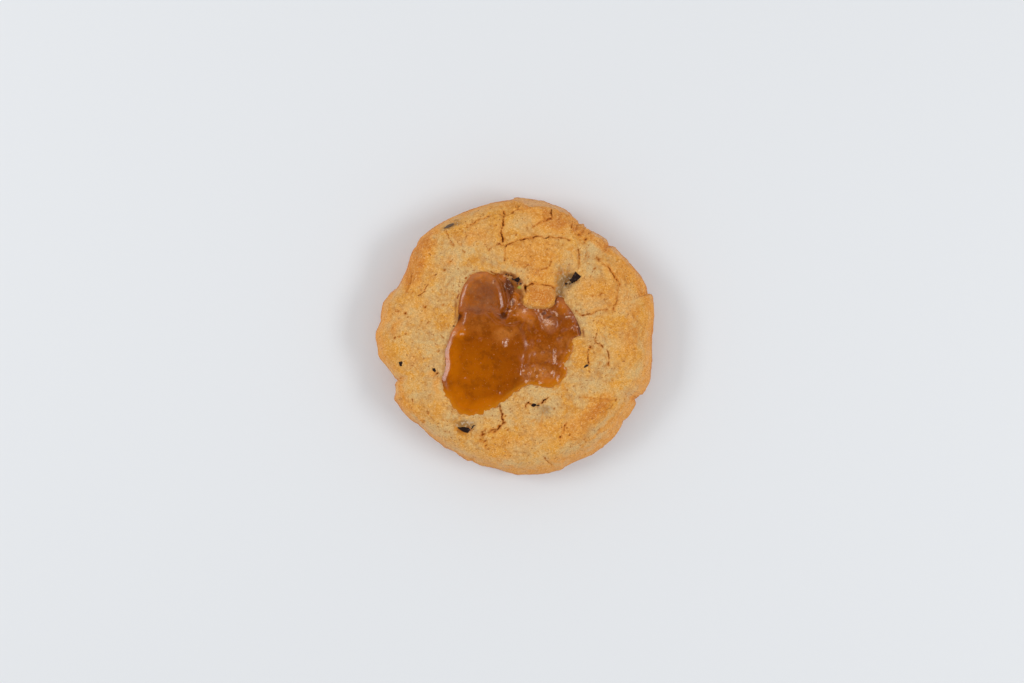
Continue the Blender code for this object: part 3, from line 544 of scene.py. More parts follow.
PALE = (
    (-30, 5, 5, 6, 0, 1), (-29, -22, 5, 4, 0, 0.9), (-20, -30, 5, 3, 0, 0.7), (-5, -42.5, 8, 2.2, 0, 1),
    (20, -40.5, 7, 2, 20, 1), (30, -20, 6, 3, 0, 1), (40.5, -15, 4, 5, 0, 0.8),
    (43, 18, 1.8, 5, 25, 0.8), (25, 21, 5, 3, 0, 0.6), (20, 30, 4, 3, 0, 0.6), (21.5, 6, 1.8, 4, 25, 1),
    (-31, 2, 8, 9, 0, 0.8), (-29, -18, 6, 6, 0, 0.7), (9.5, -25.5, 7, 3.5, 0, 1),
    (-2, -24, 12, 3, 10, 0.6), (-17, -29, 8, 3, 0, 0.5), (27, -15, 6, 6, 0, 0.6),
    (-20, 28, 10, 5, 20, 0.6), (-6, 25.5, 9, 3, 0, 0.6), (17.5, 23, 3, 8, 0, 0.8),
    (25, 29, 5, 5, 0, 0.6), (33, -28, 8, 2.6, 45, 0.8), (0, 45, 14, 2, 0, 0.9), (-27, 12, 5, 8, 0, 0.6),
    (28, 12, 5, 6, 0, 0.3), (-26, -6, 4, 8, 0, 0.3), (37.5, -28, 10, 3.6, 50, 1.2),
    (-14, -42.6, 10, 2.4, -14, 1.2), (-31, -31.5, 8, 2.4, -42, 0.8), (-20, 41, 11, 2.4, 26, 1),
    (18.5, 17.5, 4.6, 5, 0, 1.3), (29, -19, 4.6, 3, 0, 1.2), (-22, -26, 4, 3, -30, 1.1),
    (-14, -32, 3, 2.4, 0, 1.1), (38.5, 9.5, 2, 7, 10, 1.2), (20, -38.5, 7, 2.6, 20, 1),
    (-39, -18, 2.4, 3, 0, 0.8), (0, 37, 7, 3, 0, 0.6), (-31, 8, 3, 6, 10, 0.6),
    (-6, -42, 8, 2.4, -8, 0.9), (18, 28, 4, 4, 0, 0.6), (12, -43.5, 10, 2.6, 12, 1.4),
    (43.5, -12, 2.4, 7, 0, 0.7), (-31.5, 2, 5, 6, 0, 1.4), (27, 9, 6, 4, 0, 0.8),
    (25, 32, 4, 2.6, -40, 1), (0, -44.6, 12, 2.2, 0, 1.6), (37, -26, 3, 5, -40, 1.5),
)
print(len(TEARS), "tears,", len(PITS), "pits")

# %% [markdown]
# ## The dough's skin
# The solids are faceted, and the dough's has a well for the caramel with a hair's gap round it.
# A voxel remesh of dough and caramel together closes that gap and gives one even net of squares,
# which a Smooth modifier irons. Only the faces that show are then split in four, so the detail
# goes where the eye does and the flat base stays cheap.

# %% One even net over dough and caramel
VOXEL = 0.8 * MM
dough = copy_nodes("dough", "cookie_dough", "caramel_pool")
apply_modifier(dough, "REMESH", mode="VOXEL", voxel_size=VOXEL)
apply_modifier(dough, "SMOOTH", factor=0.5, iterations=5)
print("even net:", len(dough.data.vertices), "vertices")

# %% [markdown]
# Ironing rounds the torn edge of the side, and it is what gives the cookie its outline. So the
# side is drawn back to the solid, as a Shrinkwrap modifier would, while the top stays ironed.

# %% Draw the side back to the solid
dough_tree = node_tree_of("cookie_dough")


def draw_back(obj):
    """Moves the points of the side to the nearest place on the solid."""
    x, y, z = read(obj)
    nz = read(obj, "normal")[2]
    hold = step(0.9, 0.6, np.abs(nz)) * (np.hypot(x, y) > 34)
    for i in np.flatnonzero(hold > 0):
        near = dough_tree.find_nearest(Vector((x[i], y[i], z[i])) * MM)[0] / MM
        x[i] += hold[i] * (near.x - x[i])
        y[i] += hold[i] * (near.y - y[i])
        z[i] += hold[i] * (near.z - z[i])
    write(obj, x, y, np.where((nz < -0.5) & (z < 0.9), 0.0, z))
    print("points held:", int((hold > 0).sum()))


draw_back(dough)

# %% [markdown]
# Each solid piece of chocolate has a pocket with a hair's gap round it. In the baked cookie crumb
# has closed that gap, so each pocket is filled to just below the piece's top. The height of the
# crust round it comes from a plane fitted to a ring of points.

# %% Where each piece of chocolate shows, and how high the crust is there
SHARDS = {
    "chip_upper_right": ((20.3, 21.8), (22.3, 20.1), (20.9, 18.9), (19.4, 18.3), (19.1, 19.1)),
    "chip_lower_left": (
        (-19, -30.8), (-17.4, -30.5), (-15.6, -30.7), (-14.9, -31.5), (-16.1, -32.4), (-17.3, -32),
    ),
    "chip_left_edge": ((-39.2, -8.7), (-38.2, -8.3), (-37.4, -9.2), (-37.8, -10.2), (-38.8, -9.9)),
    "chip_inner_left": ((-27.9, -10.8), (-27.1, -10.6), (-26.5, -11.5), (-26.9, -12.1), (-27.7, -11.6)),
    "chip_bottom": ((5.4, -23.2), (6.1, -22.5), (7.2, -22.7), (7, -23.4), (6, -23.8)),
    "chip_right": ((22.9, -10.3), (24, -9.4), (24.8, -9.5), (24.4, -10.1), (23.2, -10.7)),
    "chip_pool_top": ((-0.3, 19.2), (0.5, 19.7), (1.3, 20), (1.7, 19.2), (1.1, 18.3), (0.3, 18.5)),
    "chip_rim_top_left": (
        (-24.1, 36.5), (-22.6, 37.8), (-21.2, 38.3), (-20.5, 38), (-21.6, 37.2), (-23, 36.6),
    ),
}
BELOW = 0.15  # how far the fill stays below the crust round it, in millimetres
RING_AWAY = 1.4  # how far outside the piece the crust round it is measured
RING_DROP = 1.0  # places this far below the ring's median are taken to lie in a crack
STANDS_OUT = 0.2  # how far a piece of chocolate rises above that crust


def ground_of(chip):
    """A piece's middle and half size in millimetres, and the plane of the crust round it."""
    low, high = (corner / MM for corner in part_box(chip))
    middle, half = (low + high) / 2, (high - low) / 2
    ring = []
    for turn in np.radians(range(0, 360, 30)):
        px = middle.x + math.cos(turn) * (half.x + RING_AWAY)
        py = middle.y + math.sin(turn) * (half.y + RING_AWAY)
        ring.append((1.0, px, py, height_on(dough_tree, px, py)))
    ring = np.array(ring)
    ring = ring[ring[:, 3] > np.median(ring[:, 3]) - RING_DROP]
    return middle, half, np.linalg.lstsq(ring[:, :3], ring[:, 3], rcond=None)[0]


# %% Fill the pockets
x, y, z = read(dough)
GROUNDS = {chip: ground_of(chip) for chip in SHARDS}
for middle, half, plane in GROUNDS.values():
    fill = plane[0] + plane[1] * x + plane[2] * y - BELOW
    around = mound(x, y, (middle.x, middle.y, half.x + 1.1, half.y + 1.1, 0), 4.0)
    around *= z > middle.z - half.z - 1.2
    z = z + around * np.maximum(fill - z, 0)
write(dough, x, y, z)
print("crust round the largest piece:", GROUNDS["chip_upper_right"][2].round(2))

# %% [markdown]
# The base is flat, so all its squares dissolve into one face. Then the faces that show are split
# in four, and those are left alone that the caramel will cover.

# %% One face for the base, and finer squares for the crust
select_only(dough)
dough.data.polygons.foreach_set("select", underside(dough))
bpy.ops.object.mode_set(mode="EDIT")
bpy.ops.mesh.select_mode(type="FACE")
bpy.ops.mesh.dissolve_faces()
bpy.ops.object.mode_set(mode="OBJECT")
cx, cy, _ = face_values(dough, "center")
shows = (shore_of(cx, cy)[0] > -2.0) & (face_values(dough, "normal")[2] > 0.12)
print("faces:", len(dough.data.polygons), "of which are split:", int(shows.sum()))
subdivide_faces(dough, shows)
draw_back(dough)

# %% Nick the side
JUMP_FADE = 1.3  # degrees over which a jump of the side dies away
x, y, z = read(dough)
radius, angle = np.hypot(x, y), np.degrees(np.arctan2(y, x))


def beyond(place):
    """Degrees from a place on the side to every point, less than 0 clockwise of it."""
    return (angle - place + 180) % 360 - 180


inward = np.zeros_like(x)
for place, half_width, deep in NICKS:
    inward += deep * np.exp(-((beyond(place) / half_width) ** 2))
for place, deep in JUMPS:
    inward += deep * np.sign(beyond(place)) * np.exp(-np.abs(beyond(place)) / JUMP_FADE)
inward *= step(0.93, 0.75, read(dough, "normal")[2]) * step(36, 41, radius) * step(0.0, 2.0, z)
write(dough, x * (1 - inward / radius), y * (1 - inward / radius), z)

# %% Finer squares along the tears
cx, cy, _ = face_values(dough, "center")
edged = [(0.6, 1.0, points) for _, _, points in TEARS] + [(0.5, 1.0, points) for _, points in LIPS]
beside = (lines(cx, cy, edged) > 0.37) & (face_values(dough, "normal")[2] > 0.3)
subdivide_faces(dough, beside, smoothness=0.0)
print("vertices:", len(dough.data.vertices))

# %% [markdown]
# Now the moves a sculptor would make: press a bowl for the caramel, keep the crust calm over the
# seat of each piece of chocolate, open the tears, prick the pits, and give the whole crust its
# grain. A tear wanders because noise is added to the place before its distance to the line is
# measured. Places beside a tear are lifted slightly, because a drying crust curls at its edges.

# %% Measure every point of the crust
x, y, z = read(dough)
nx, ny, nz = read(dough, "normal")
faces_up = step(0.25, 0.7, nz)
shore, beside_height = shore_of(x, y)
outside = step(-0.2, 0.6, shore)
flush = flushness(x, y)
wander_x = 0.5 * rough(x, y, z, 1.9, 1.7) + 0.3 * rough(x, y, z, 0.8, 4.1)
wander_y = 0.5 * rough(x, y, z, 1.9, 31.4) + 0.3 * rough(x, y, z, 0.8, 24.9)
astray_x, astray_y = x + wander_x, y + wander_y

# %% Tears, pits and seats
gape = 0.78 + 1.1 * rough(x, y, z, 2.6, 9.3) + 1.0 * rough(x, y, z, 0.7, 19.3)
tear = 0.6 * lines(astray_x, astray_y, TEARS, 0.68) * np.clip(gape, 0.38, 1.3) * faces_up
sag = 0.25 * lines(astray_x, astray_y, TEARS, 2.4) * np.clip(0.5 + gape, 0.2, 1.2)
sag *= faces_up * outside
curl = 0.25 * lines(x, y, TEARS, 4.2) * faces_up * outside
near_cell, next_cell = cells(x + 1.5 * wander_x, y + 1.5 * wander_y, z, 6.5, 3.3)
crazing = 0.3 * step(0.07, 0.01, next_cell - near_cell) * faces_up * outside
crazing *= step(0.0, 0.25, rough(x, y, z, 8.0, 71.0))
valley = lines(astray_x, astray_y, VALLEYS) * faces_up
burst = [(px, py, r, r * 0.7, 30, 0.9) for px, py, r in PITS]
pit = mounds(x + 0.4 * wander_x, y + 0.4 * wander_y, burst) * faces_up
seat = np.zeros_like(x)
for middle, half, _ in GROUNDS.values():
    seat = np.maximum(seat, mound(x, y, (middle.x, middle.y, half.x + 0.2, half.y + 0.2, 0), 2.0))
hollow = mounds(x + 0.5 * wander_x, y + 0.5 * wander_y, HOLLOWS, 1.5) * faces_up
print("deepest tear:", round(float(tear.max()), 2), "mm")

# %% Crumb
RIM_RADIUS = 47.0  # how far the widest part is from the middle, in millimetres
skirt = step(0.86, 0.68, nz)
crumbly = step(-0.1, 0.35, rough(x, y, z, 7.0, 41.0) + 0.25)
crumbly *= (0.4 + 0.6 * faces_up) * (1 - 0.5 * skirt)
lumps = 0.2 * rough(x, y, z, 4.2, 7.7) + 0.16 * rough(x, y, z, 2.1, 17.1)
plates = mounds(x + 2.2 * wander_x, y + 2.2 * wander_y, PLATES, 4.0) * faces_up
ridges = lines(x + 1.2 * wander_x, y + 1.2 * wander_y, RIDGES)
plates += ridges * (0.6 + 0.8 * rough(x, y, z, 1.6, 77.0)) * faces_up
clump = 0.3 * (0.5 - cells(x, y, z, 1.5, 8.0)[0]) + 0.16 * (0.5 - cells(x, y, z, 0.8, 2.0)[0])
grain = 0.12 * rough(x, y, z, 0.8, 3.9) + 0.09 * rough(x, y, z, 0.45, 12.5)
crags = mounds(astray_x, astray_y, CRAGS)
crag_relief = crags * (0.9 * np.abs(rough(x, y, z, 1.5, 61.0)) + 0.4 * rough(x, y, z, 0.8, 5.1) - 0.1)
pores = 0.3 * step(0.38, 0.62, rough(x, y, z, 1.2, 55.5)) * crumbly * faces_up
lip, lip_shade = lips(x + 0.9 * wander_x, y + 0.9 * wander_y, LIPS)
lip *= np.clip(0.9 + 0.7 * rough(x, y, z, 2.2, 87.0), 0.2, 1.4) * outside
skin = lumps * (1 - 0.6 * skirt) + plates + (clump + grain) * (0.4 + 0.75 * crumbly) + crag_relief - pores
skin += lip * faces_up
rim_distance = np.hypot(x, y) / RIM_RADIUS
print("crumb stands", round(float(skin.max()), 2), "and dips", round(float(skin.min()), 2), "mm")

# %% Move the points
on_base = (z < 0.05) & (nz < 0.6)
bowl = 2.6 * step(-0.45, -1.4, shore) * faces_up
bank = flush * np.exp(-((shore / 1.3) ** 2)) * faces_up * (beside_height - 0.2 - z)
drop = (tear + sag + crazing) * (1 - 0.8 * seat) + valley + pit + hollow + bowl - curl
calm = 1 - 0.7 * step(0.5, -0.3, shore)
skin_here = np.where(on_base, 0.0, skin * step(0.0, 2.0, z) * (1 - 0.75 * seat) * calm)
moved = [x + skin_here * nx, y + skin_here * ny, z + bank + skin_here * nz - drop]
for axis, (low, high) in enumerate(zip(*cad_box)):
    moved[axis] = np.clip(moved[axis], low / MM + 0.02, high / MM)
write(dough, moved[0], moved[1], np.where(on_base, 0.0, np.maximum(moved[2], 0.0)))

# %% [markdown]
# The same numbers that moved the points also tell the material where it is: inside a tear, on a
# browned knob, over chocolate, or down the side. They are stored on the vertices. Some are painted
# light: darker shade in tears, pits, pores, dents and right under lips, and a paler highlight on
# raised crumb. The first two lips part the top from paler crumb below them, which is painted as
# their flank.

# %% Paint the crust's marks
GREEN_FLECK = (1.35, 16.5, 0.5, 0.7, 0)
spread_x, spread_y = x + 1.8 * wander_x, y + 1.8 * wander_y
rim_brown = 0.55 * step(0.87, 0.985, rim_distance + 0.05 * rough(x, y, z, 6.0, 2.2))
rim_brown += 0.8 * lines(astray_x, astray_y, RIDGES) + 0.35 * crags
browned = np.maximum(mounds(spread_x, spread_y, BROWNED), rim_brown)
browned *= 0.85 + 0.5 * rough(x, y, z, 2.4, 8.8)
knobs = 0.5 * lumps * faces_up + 0.5 * plates
# raised paints a paler tone onto curled crack edges, crumb clumps, plate crowns and lips: a painted
# highlight where light falls on them
raised = 2.0 * curl + 2.2 * (clump + grain) + 1.5 * plates * (1 - plates / 0.5) + 0.8 * lip
paint(dough, "browned", browned + knobs + 0.25 * curl + 0.6 * lip)
# painted shade: tears, pits, crazing, dents and the strip right under each lip are coloured darker where
# shade falls
recess_shade = np.maximum.reduce([1.4 * tear, 0.8 * sag, 1.2 * pit, crazing, 0.75 * hollow, 1.1 * lip_shade])
paint(dough, "recess_shade", recess_shade * faces_up)
# the pores' darker tone is painted shade, in the pits and between the crumb clumps
paint(dough, "pores", pores / 0.3 + 0.8 * step(0.35, 0.7, cells(x, y, z, 1.5, 8.0)[0]) * crumbly)
# grey over chocolate, and painted shade in the valley beside the neck
paint(dough, "greyed_and_shaded", mounds(spread_x, spread_y, GREYED_AND_SHADED) * outside)
paint(dough, "cocoa", mounds(x + 0.7 * wander_x, y + 0.7 * wander_y, COCOA, 2.0) * faces_up)
paint(dough, "pale", mounds(spread_x, spread_y, PALE) + 0.4 * step(5.0, 0.5, shore))
paint(dough, "side", 1 - step(0.3, 0.8, nz))
paint(dough, "edge", step(0.38, 0.05, nz) * step(1.0, 3.0, z))
flank = np.zeros_like(x)
for _, points in LIPS[:2]:
    below = beside_line(x + 0.9 * wander_x, y + 0.9 * wander_y, points)
    ends = between_ends(x, y, points, 0.3, 2.0)
    flank = np.maximum(flank, step(0.1, -0.3, below) * np.exp(-((below / 6) ** 2)) * ends)
paint(dough, "flank", flank)
paint(dough, "foot", step(8.0, 2.5, z) * (1 - faces_up))
# painted highlight on raised crumb
paint(dough, "raised", raised)
soaked = mounds(astray_x, astray_y, SOAKED)
soaked = np.maximum(soaked, 0.4 * step(0.6, 0.0, shore + 0.4 * rough(x, y, z, 1.5, 3.0)))
paint(dough, "wet", soaked * faces_up)
paint(dough, "green", mound(astray_x, astray_y, GREEN_FLECK, 1.5))
select_only(dough)
bpy.ops.object.shade_smooth()
dough.data.polygons.foreach_set("use_smooth", ~underside(dough))
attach(dough, "root")
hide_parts("cookie_dough")
print("dough triangles:", sum(len(p.vertices) - 2 for p in dough.data.polygons))

# %% [markdown]
# ## The caramel
# Warm caramel welled up through the torn crust and set. At the lower left it stands proud with a
# fat rounded rim, at the upper left a soft lobe folds over it, and on the right it is full of
# small bubbles. The solid already has that form, so a copy of it is remeshed finely, its sides
# are pushed a little into the dough so that no gap shows, and the small relief is added.

# %% Tables of the caramel's marks
# Line along which the lobe ends, from its top
LOBE_EDGE = (
    (-9.8, 21.6), (-8, 20.9), (-6.4, 19.6), (-5.2, 17.8), (-4.4, 15.6), (-3.8, 12.8), (-3.4, 10.4),
    (-3.8, 8.4),
)
# Thin folds, then grooves: half width, height or depth, points
FOLDS = (
    (0.5, 0.4, ((7.2, 9.4), (7.8, 7.8), (8.8, 6.2), (10, 5.2))),
    (0.45, 0.4, ((13.1, -4.6), (13.4, -7), (13.6, -9.2))),
    (0.4, 0.3, ((14.3, -13.4), (14.1, -15.4))),
    (0.4, 0.3, ((2, -9.8), (2.2, -12.8), (4.2, -13.8), (5.4, -11.8), (3.4, -9.9))),
    (0.35, 0.22, ((16.8, -9), (16.6, -11.5))),
    (0.4, 0.25, ((9, -14), (11, -13), (12.8, -13.6))),
    (0.3, 0.2, ((-19.6, 1.4), (-18.6, 2.2), (-17.2, 2.4))),
    (0.35, 0.2, ((2, 6.6), (4.4, 7.4), (6.4, 6.8))),
    (0.35, 0.22, ((17, 7.6), (18.4, 6.4), (19, 5))),
)
GROOVES = (
    (0.8, 0.25, ((-3.2, 19.4), (-2.2, 17), (-1.9, 14), (-2, 10.6), (-3.7, 7.4))),
    (0.5, 0.35, ((-18.8, 7.2), (-16.5, 8.4), (-12, 8.2), (-7.5, 8.7), (-4.2, 7.2))),
    (0.5, 0.3, ((4.5, 8.9), (6.4, 8.2), (9, 8.2), (11.5, 8.9), (13.2, 10.4))),
    (0.4, 0.2, ((-9.5, 7.6), (-6, 4.4), (-2, 3.8), (1.5, 4.6))),
)
# Soft ellipses where the caramel is full of crumbs: x, y, half length, half width, turn, amount
CREVICE = (
    (-2.4, 17.5, 2, 3.6, 15, 1), (-0.4, 12.6, 1.6, 4, 10, 1), (-2.4, 8.4, 2.2, 1.6, 0, 0.7),
    (10, 8.4, 3.4, 1.4, 0, 0.9),
)
# More soft ellipses. White glints are painted highlights, and larger lumps are knobs
PAINTED_GLINTS = (
    (-2.2, 19.2, 0.3, 0.3, 0, 0.8), (-1.7, 17.3, 0.2, 0.4, -10, 0.8), (-2.5, 16.3, 0.22, 0.22, 0, 0.6),
    (-1.9, 15.9, 0.22, 0.2, 0, 0.7), (-0.9, 15.3, 0.22, 0.3, 0, 0.5), (-1.2, 11, 0.28, 1.2, 0, 0.9),
    (-0.5, 12.4, 0.5, 0.5, 0, 0.7), (-1.8, 8.6, 0.7, 0.35, 10, 0.9), (-0.2, 7, 0.6, 0.3, 0, 0.6),
    (-1.9, 4.4, 0.5, 0.25, 40, 0.6), (-7.3, 18.2, 0.5, 0.6, -20, 0.7), (7.9, 8.8, 0.3, 1.3, 25, 0.9),
    (8.9, 6.7, 0.3, 1.2, 20, 1), (10.9, 4.7, 1.8, 1.4, -10, 0.6), (10.2, 5.4, 1.2, 0.4, 0, 0.8),
    (9, 9.4, 0.8, 0.3, 0, 0.7), (10.9, 9.1, 0.7, 0.5, -30, 0.7), (12.7, 8.2, 0.6, 0.6, 0, 0.7),
    (13.9, 7.5, 0.5, 1, 20, 0.75), (17.7, 6.6, 0.9, 0.4, 10, 0.7), (19.1, 3, 0.4, 0.7, 0, 0.5),
    (20.9, 3.2, 0.4, 0.4, 0, 0.6), (20.7, -0.7, 0.7, 0.3, 0, 0.8), (22.3, 0.2, 0.3, 0.6, 20, 0.6),
    (-18, 0.8, 0.8, 0.55, 0, 0.7), (-20.7, 0.9, 0.5, 1.3, -20, 0.6), (-2.9, -2, 0.7, 1.7, -15, 0.6),
    (-3.2, -3, 0.6, 0.6, 0, 0.7), (-11.6, -0.7, 0.7, 0.3, -40, 0.4), (13.3, -5.4, 0.3, 0.8, 0, 0.6),
    (13.5, -7.8, 0.55, 1.4, 0, 0.85), (2.8, -11.6, 0.6, 0.5, 0, 0.8), (1.8, -12.9, 0.25, 0.7, 10, 0.6),
    (4.3, -12.6, 0.2, 0.6, 0, 0.5), (3.7, -15.2, 0.7, 0.5, 20, 0.9), (6.6, -11.6, 0.25, 1.2, 0, 0.5),
    (8.4, -11.2, 0.4, 0.8, 20, 0.6), (7.4, -13.6, 0.5, 0.7, 0, 0.5), (12.6, -12.1, 0.6, 0.5, 0, 0.7),
    (8.5, -15.7, 0.45, 0.3, 0, 0.9), (14.2, -14.5, 0.35, 1.2, 0, 0.9), (16.6, -10.8, 0.25, 0.9, 15, 0.7),
    (16.2, -8.9, 0.4, 0.3, 0, 0.5), (18.3, -4.7, 0.35, 0.5, 0, 0.6), (17.4, -5.6, 0.3, 0.3, 0, 0.5),
    (-16.4, -13.9, 1.2, 0.24, 0, 0.35), (-6, -18.2, 0.4, 0.4, 0, 0.35), (-5, -19, 0.35, 0.3, 0, 0.7),
    (5, -14.6, 0.6, 0.24, 0, 0.5), (10.4, -13.4, 0.7, 0.3, 20, 0.4), (5.2, 2.6, 0.24, 0.6, 0, 0.3),
    (9.4, 2.8, 0.3, 0.9, 40, 0.5), (9.9, 0, 0.3, 0.6, 30, 0.4), (6.4, 1.4, 0.24, 0.7, 0, 0.35),
    (11.6, -3.4, 0.7, 0.4, 0, 0.4), (0.2, 9.6, 0.3, 0.9, -20, 0.5),
)
KNOBS = (
    (12.5, 4.2, 1.7, 2, -20, 0.8), (-18.4, 1.5, 2.2, 1.2, 40, 0.35), (-3.4, -1.9, 1.1, 0.8, 50, 0.45),
    (-17.5, 0.8, 0.6, 0.5, 0, 0.3), (-11.5, -0.8, 0.7, 0.4, 20, 0.22), (13.2, 8, 1.4, 0.9, -30, 0.5),
    (10.2, 8.4, 1.2, 0.7, 0, 0.5), (17.9, 6.6, 0.9, 0.5, 20, 0.35), (20.4, 3, 0.6, 0.9, 10, 0.4),
    (21.3, 0, 0.8, 0.5, 0, 0.35), (3.1, -11.6, 0.9, 0.9, 0, 0.42), (8.5, -15.4, 0.6, 0.5, 0, 0.4),
    (12.6, -12.4, 0.6, 0.6, 0, 0.35), (4, -15.2, 0.7, 0.45, 20, 0.4), (-5, -19, 0.45, 0.4, 0, 0.25),
    (-6.1, -18.2, 0.4, 0.35, 0, 0.18), (-16.4, -14, 1.1, 0.3, 5, 0.16), (0.4, 12.2, 0.8, 1.3, 10, 0.6),
    (-1.5, 9.6, 0.9, 0.7, 0, 0.45), (1.6, 9.2, 0.9, 0.7, 0, 0.4), (-1.6, 15.4, 0.5, 0.6, 0, 0.5),
    (-2.1, 18.8, 0.5, 0.6, 0, 0.5), (-1.6, 17.2, 0.4, 0.4, 0, 0.4), (-0.6, 13.6, 0.5, 0.5, 0, 0.5),
    (-9, 19.4, 0.7, 0.6, 0, 0.15), (-4.4, 4.6, 1.2, 0.4, -45, 0.25), (16.2, 2.2, 1, 0.6, 30, 0.3),
    (7, 1.6, 0.9, 0.6, -20, 0.3), (15, -1, 0.8, 0.8, 0, 0.3), (11, -8.8, 0.9, 0.6, 10, 0.3),
    (6, -6.2, 1, 0.6, 40, 0.25), (9, 9.2, 0.7, 0.4, 0, 0.3), (14.8, 5, 0.6, 0.6, 0, 0.3),
)
HOLES = (
    (9.6, 4.3, 1.3, 1.4, 0, 0.3), (12, 8.2, 0.8, 0.8, 0, 0.3), (19.4, 2.8, 0.6, 0.9, 0, 0.25),
    (-0.2, 17.6, 2, 2.4, 10, 0.3), (-18.9, 6.4, 0.9, 1.4, -25, 0.7), (-3.9, 7.2, 1.1, 0.8, 0, 0.5),
    (21.9, 1.2, 0.5, 1.6, 15, 0.6), (13.4, 11.4, 0.9, 0.9, 0, 0.7), (5.1, 5.5, 0.7, 0.6, 0, 0.25),
)
# Milky caramel, and painted sheen: the pale patch beside the large knob on the right and the paler top and
# left of the lobe stand in for highlights
MILKY_AND_SHEEN = (
    (-4.2, 1.4, 2.4, 1.5, 0, 1), (5, 5.4, 1.6, 1.8, 0, 0.5), (-14.5, 17.5, 2.6, 4, -20, 0.4),
    (2.2, 8, 2.4, 1.6, 0, 0.9), (-12, 20.4, 5, 1.8, 0, 0.6), (-8, 18.6, 3, 2, -30, 0.5),
    (-3.2, 0.8, 4.2, 2, 20, 0.8), (-12, 4, 6, 3, 0, 0.35), (10, -6, 6, 3, 0, 0.5),
    (16, 10.5, 2.6, 2, 0, 0.4), (8.5, -12.4, 5, 2.4, 0, 1.1), (11.3, 4.4, 1.5, 1.8, 0, 0.9),
    (-10, 11, 5, 3, 0, 0.3), (3, 7, 3, 1.6, 0, 0.4), (17, -2, 3, 2.4, 0, 0.45),
    (0.6, 12, 2, 2.6, 0, 0.4),
)
AMBER = (
    (-16.8, 14.5, 2, 7, -10, 0.5), (-12, 20.6, 5, 1.6, 0, 0.8), (0.4, 14.6, 1.2, 2.2, 0, 1),
    (-4.4, 19.4, 1.4, 1.2, 0, 0.7), (3.5, 7.4, 3.4, 1.8, 0, 0.8), (16.4, 9.4, 2.2, 2.6, 40, 0.6),
    (11, -15.4, 6, 1.4, 0, 0.8), (-19.6, -21.6, 7, 4.6, -50, 0.95), (-12, -24, 9, 3, 18, 0.9),
    (-19.3, 1.6, 2.8, 3, 30, 1.1), (-14, -13, 9, 9, 0, 0.45), (-21, -8, 3, 9, 0, 0.8),
    (-17.6, 14, 2, 6.5, -8, 0.4), (12, -15.2, 5.4, 1.8, 0, 0.9), (2, 15, 2, 2, 0, 0.8),
    (16.5, -10, 1.6, 4, 0, 0.6),
)
# Dark caramel, and painted shade: many rows lie in the hollows, the crevice and along the recessed right
# shore, where shade falls
DARK_AND_SHADE = (
    (-3.9, 6.8, 1.3, 1.4, 0, 1.2), (-2.4, 9, 0.8, 0.8, 0, 0.8), (-2, 14.4, 0.5, 2.4, 10, 0.8),
    (-3.4, 16.2, 0.7, 1.4, 0, 0.8), (-6.6, 18.4, 0.35, 0.4, 0, 0.8), (9.6, 7.4, 0.9, 0.6, 30, 0.9),
    (11.6, 6.6, 1.2, 0.4, 10, 0.9), (9.8, 8.5, 0.8, 0.4, 0, 0.8), (22.4, 1.6, 0.35, 2.4, 12, 1),
    (22.7, -0.9, 0.5, 0.4, 0, 1), (3.4, -13.3, 0.6, 0.6, 0, 0.5), (13.6, 12.2, 0.5, 1.2, 0, 0.9),
    (-19.8, 5.8, 0.4, 1.4, -10, 1.1), (-10.5, 15.5, 1.2, 2.4, 20, 0.5), (-8, 10, 3, 0.8, 0, 0.5),
    (16.2, -5.6, 0.5, 0.3, 0, 0.5), (-1.6, 17, 1.7, 4, 10, 1), (-1, 11.6, 0.9, 2.2, 10, 0.8),
    (1.4, 19.2, 2.2, 0.9, -25, 1), (-18.7, 6.3, 0.8, 1.5, -25, 1), (-3.9, 7.4, 1.6, 0.9, 0, 0.9),
    (21.6, 2.6, 0.8, 3.4, 15, 0.8), (13.6, 11.4, 1, 1.2, 0, 0.8), (14.5, 6.2, 6, 4.5, -30, 0.45),
    (5.1, 5.5, 0.5, 0.4, 0, 0.7), (15.3, 5.6, 0.35, 0.3, 0, 0.9), (9.9, -5.1, 0.4, 0.4, 0, 0.7),
    (9.7, -12, 0.4, 0.4, 0, 0.7), (-12, 9, 7, 1.4, 5, 0.4), (-8.8, 14.5, 3.4, 4.8, 0, 0.5),
    (0, -4, 5, 5, 0, 0.3), (17.5, -4.6, 0.8, 0.5, 0, 0.5),
)
print(len(KNOBS), "knobs and", len(HOLES), "hollows")

# %% A fine net, let into the dough
INTO_DOUGH = 0.9  # how far the sides are pushed past the solid's, in millimetres
caramel = copy_nodes("caramel", "caramel_pool")
apply_modifier(caramel, "REMESH", mode="VOXEL", voxel_size=0.5 * MM)
apply_modifier(caramel, "SMOOTH", factor=0.5, iterations=6)
subdivide_faces(caramel, face_values(caramel, "normal")[2] > 0.15)
x, y, z = read(caramel)
nx, ny, nz = read(caramel, "normal")
shore, level = shore_of(x, y)
flush, proud = flushness(x, y), proudness(x, y)
inland = -shore
top = step(0.1, 0.5, nz)

# %% [markdown]
# Two kinds of shore are shaped first. Where the caramel is flush it keeps its height up to the
# crumb and dives under it. Along the left it has a fat rim: a steep foot, then a long even slope,
# which is what mirrors one light as a single bright band.

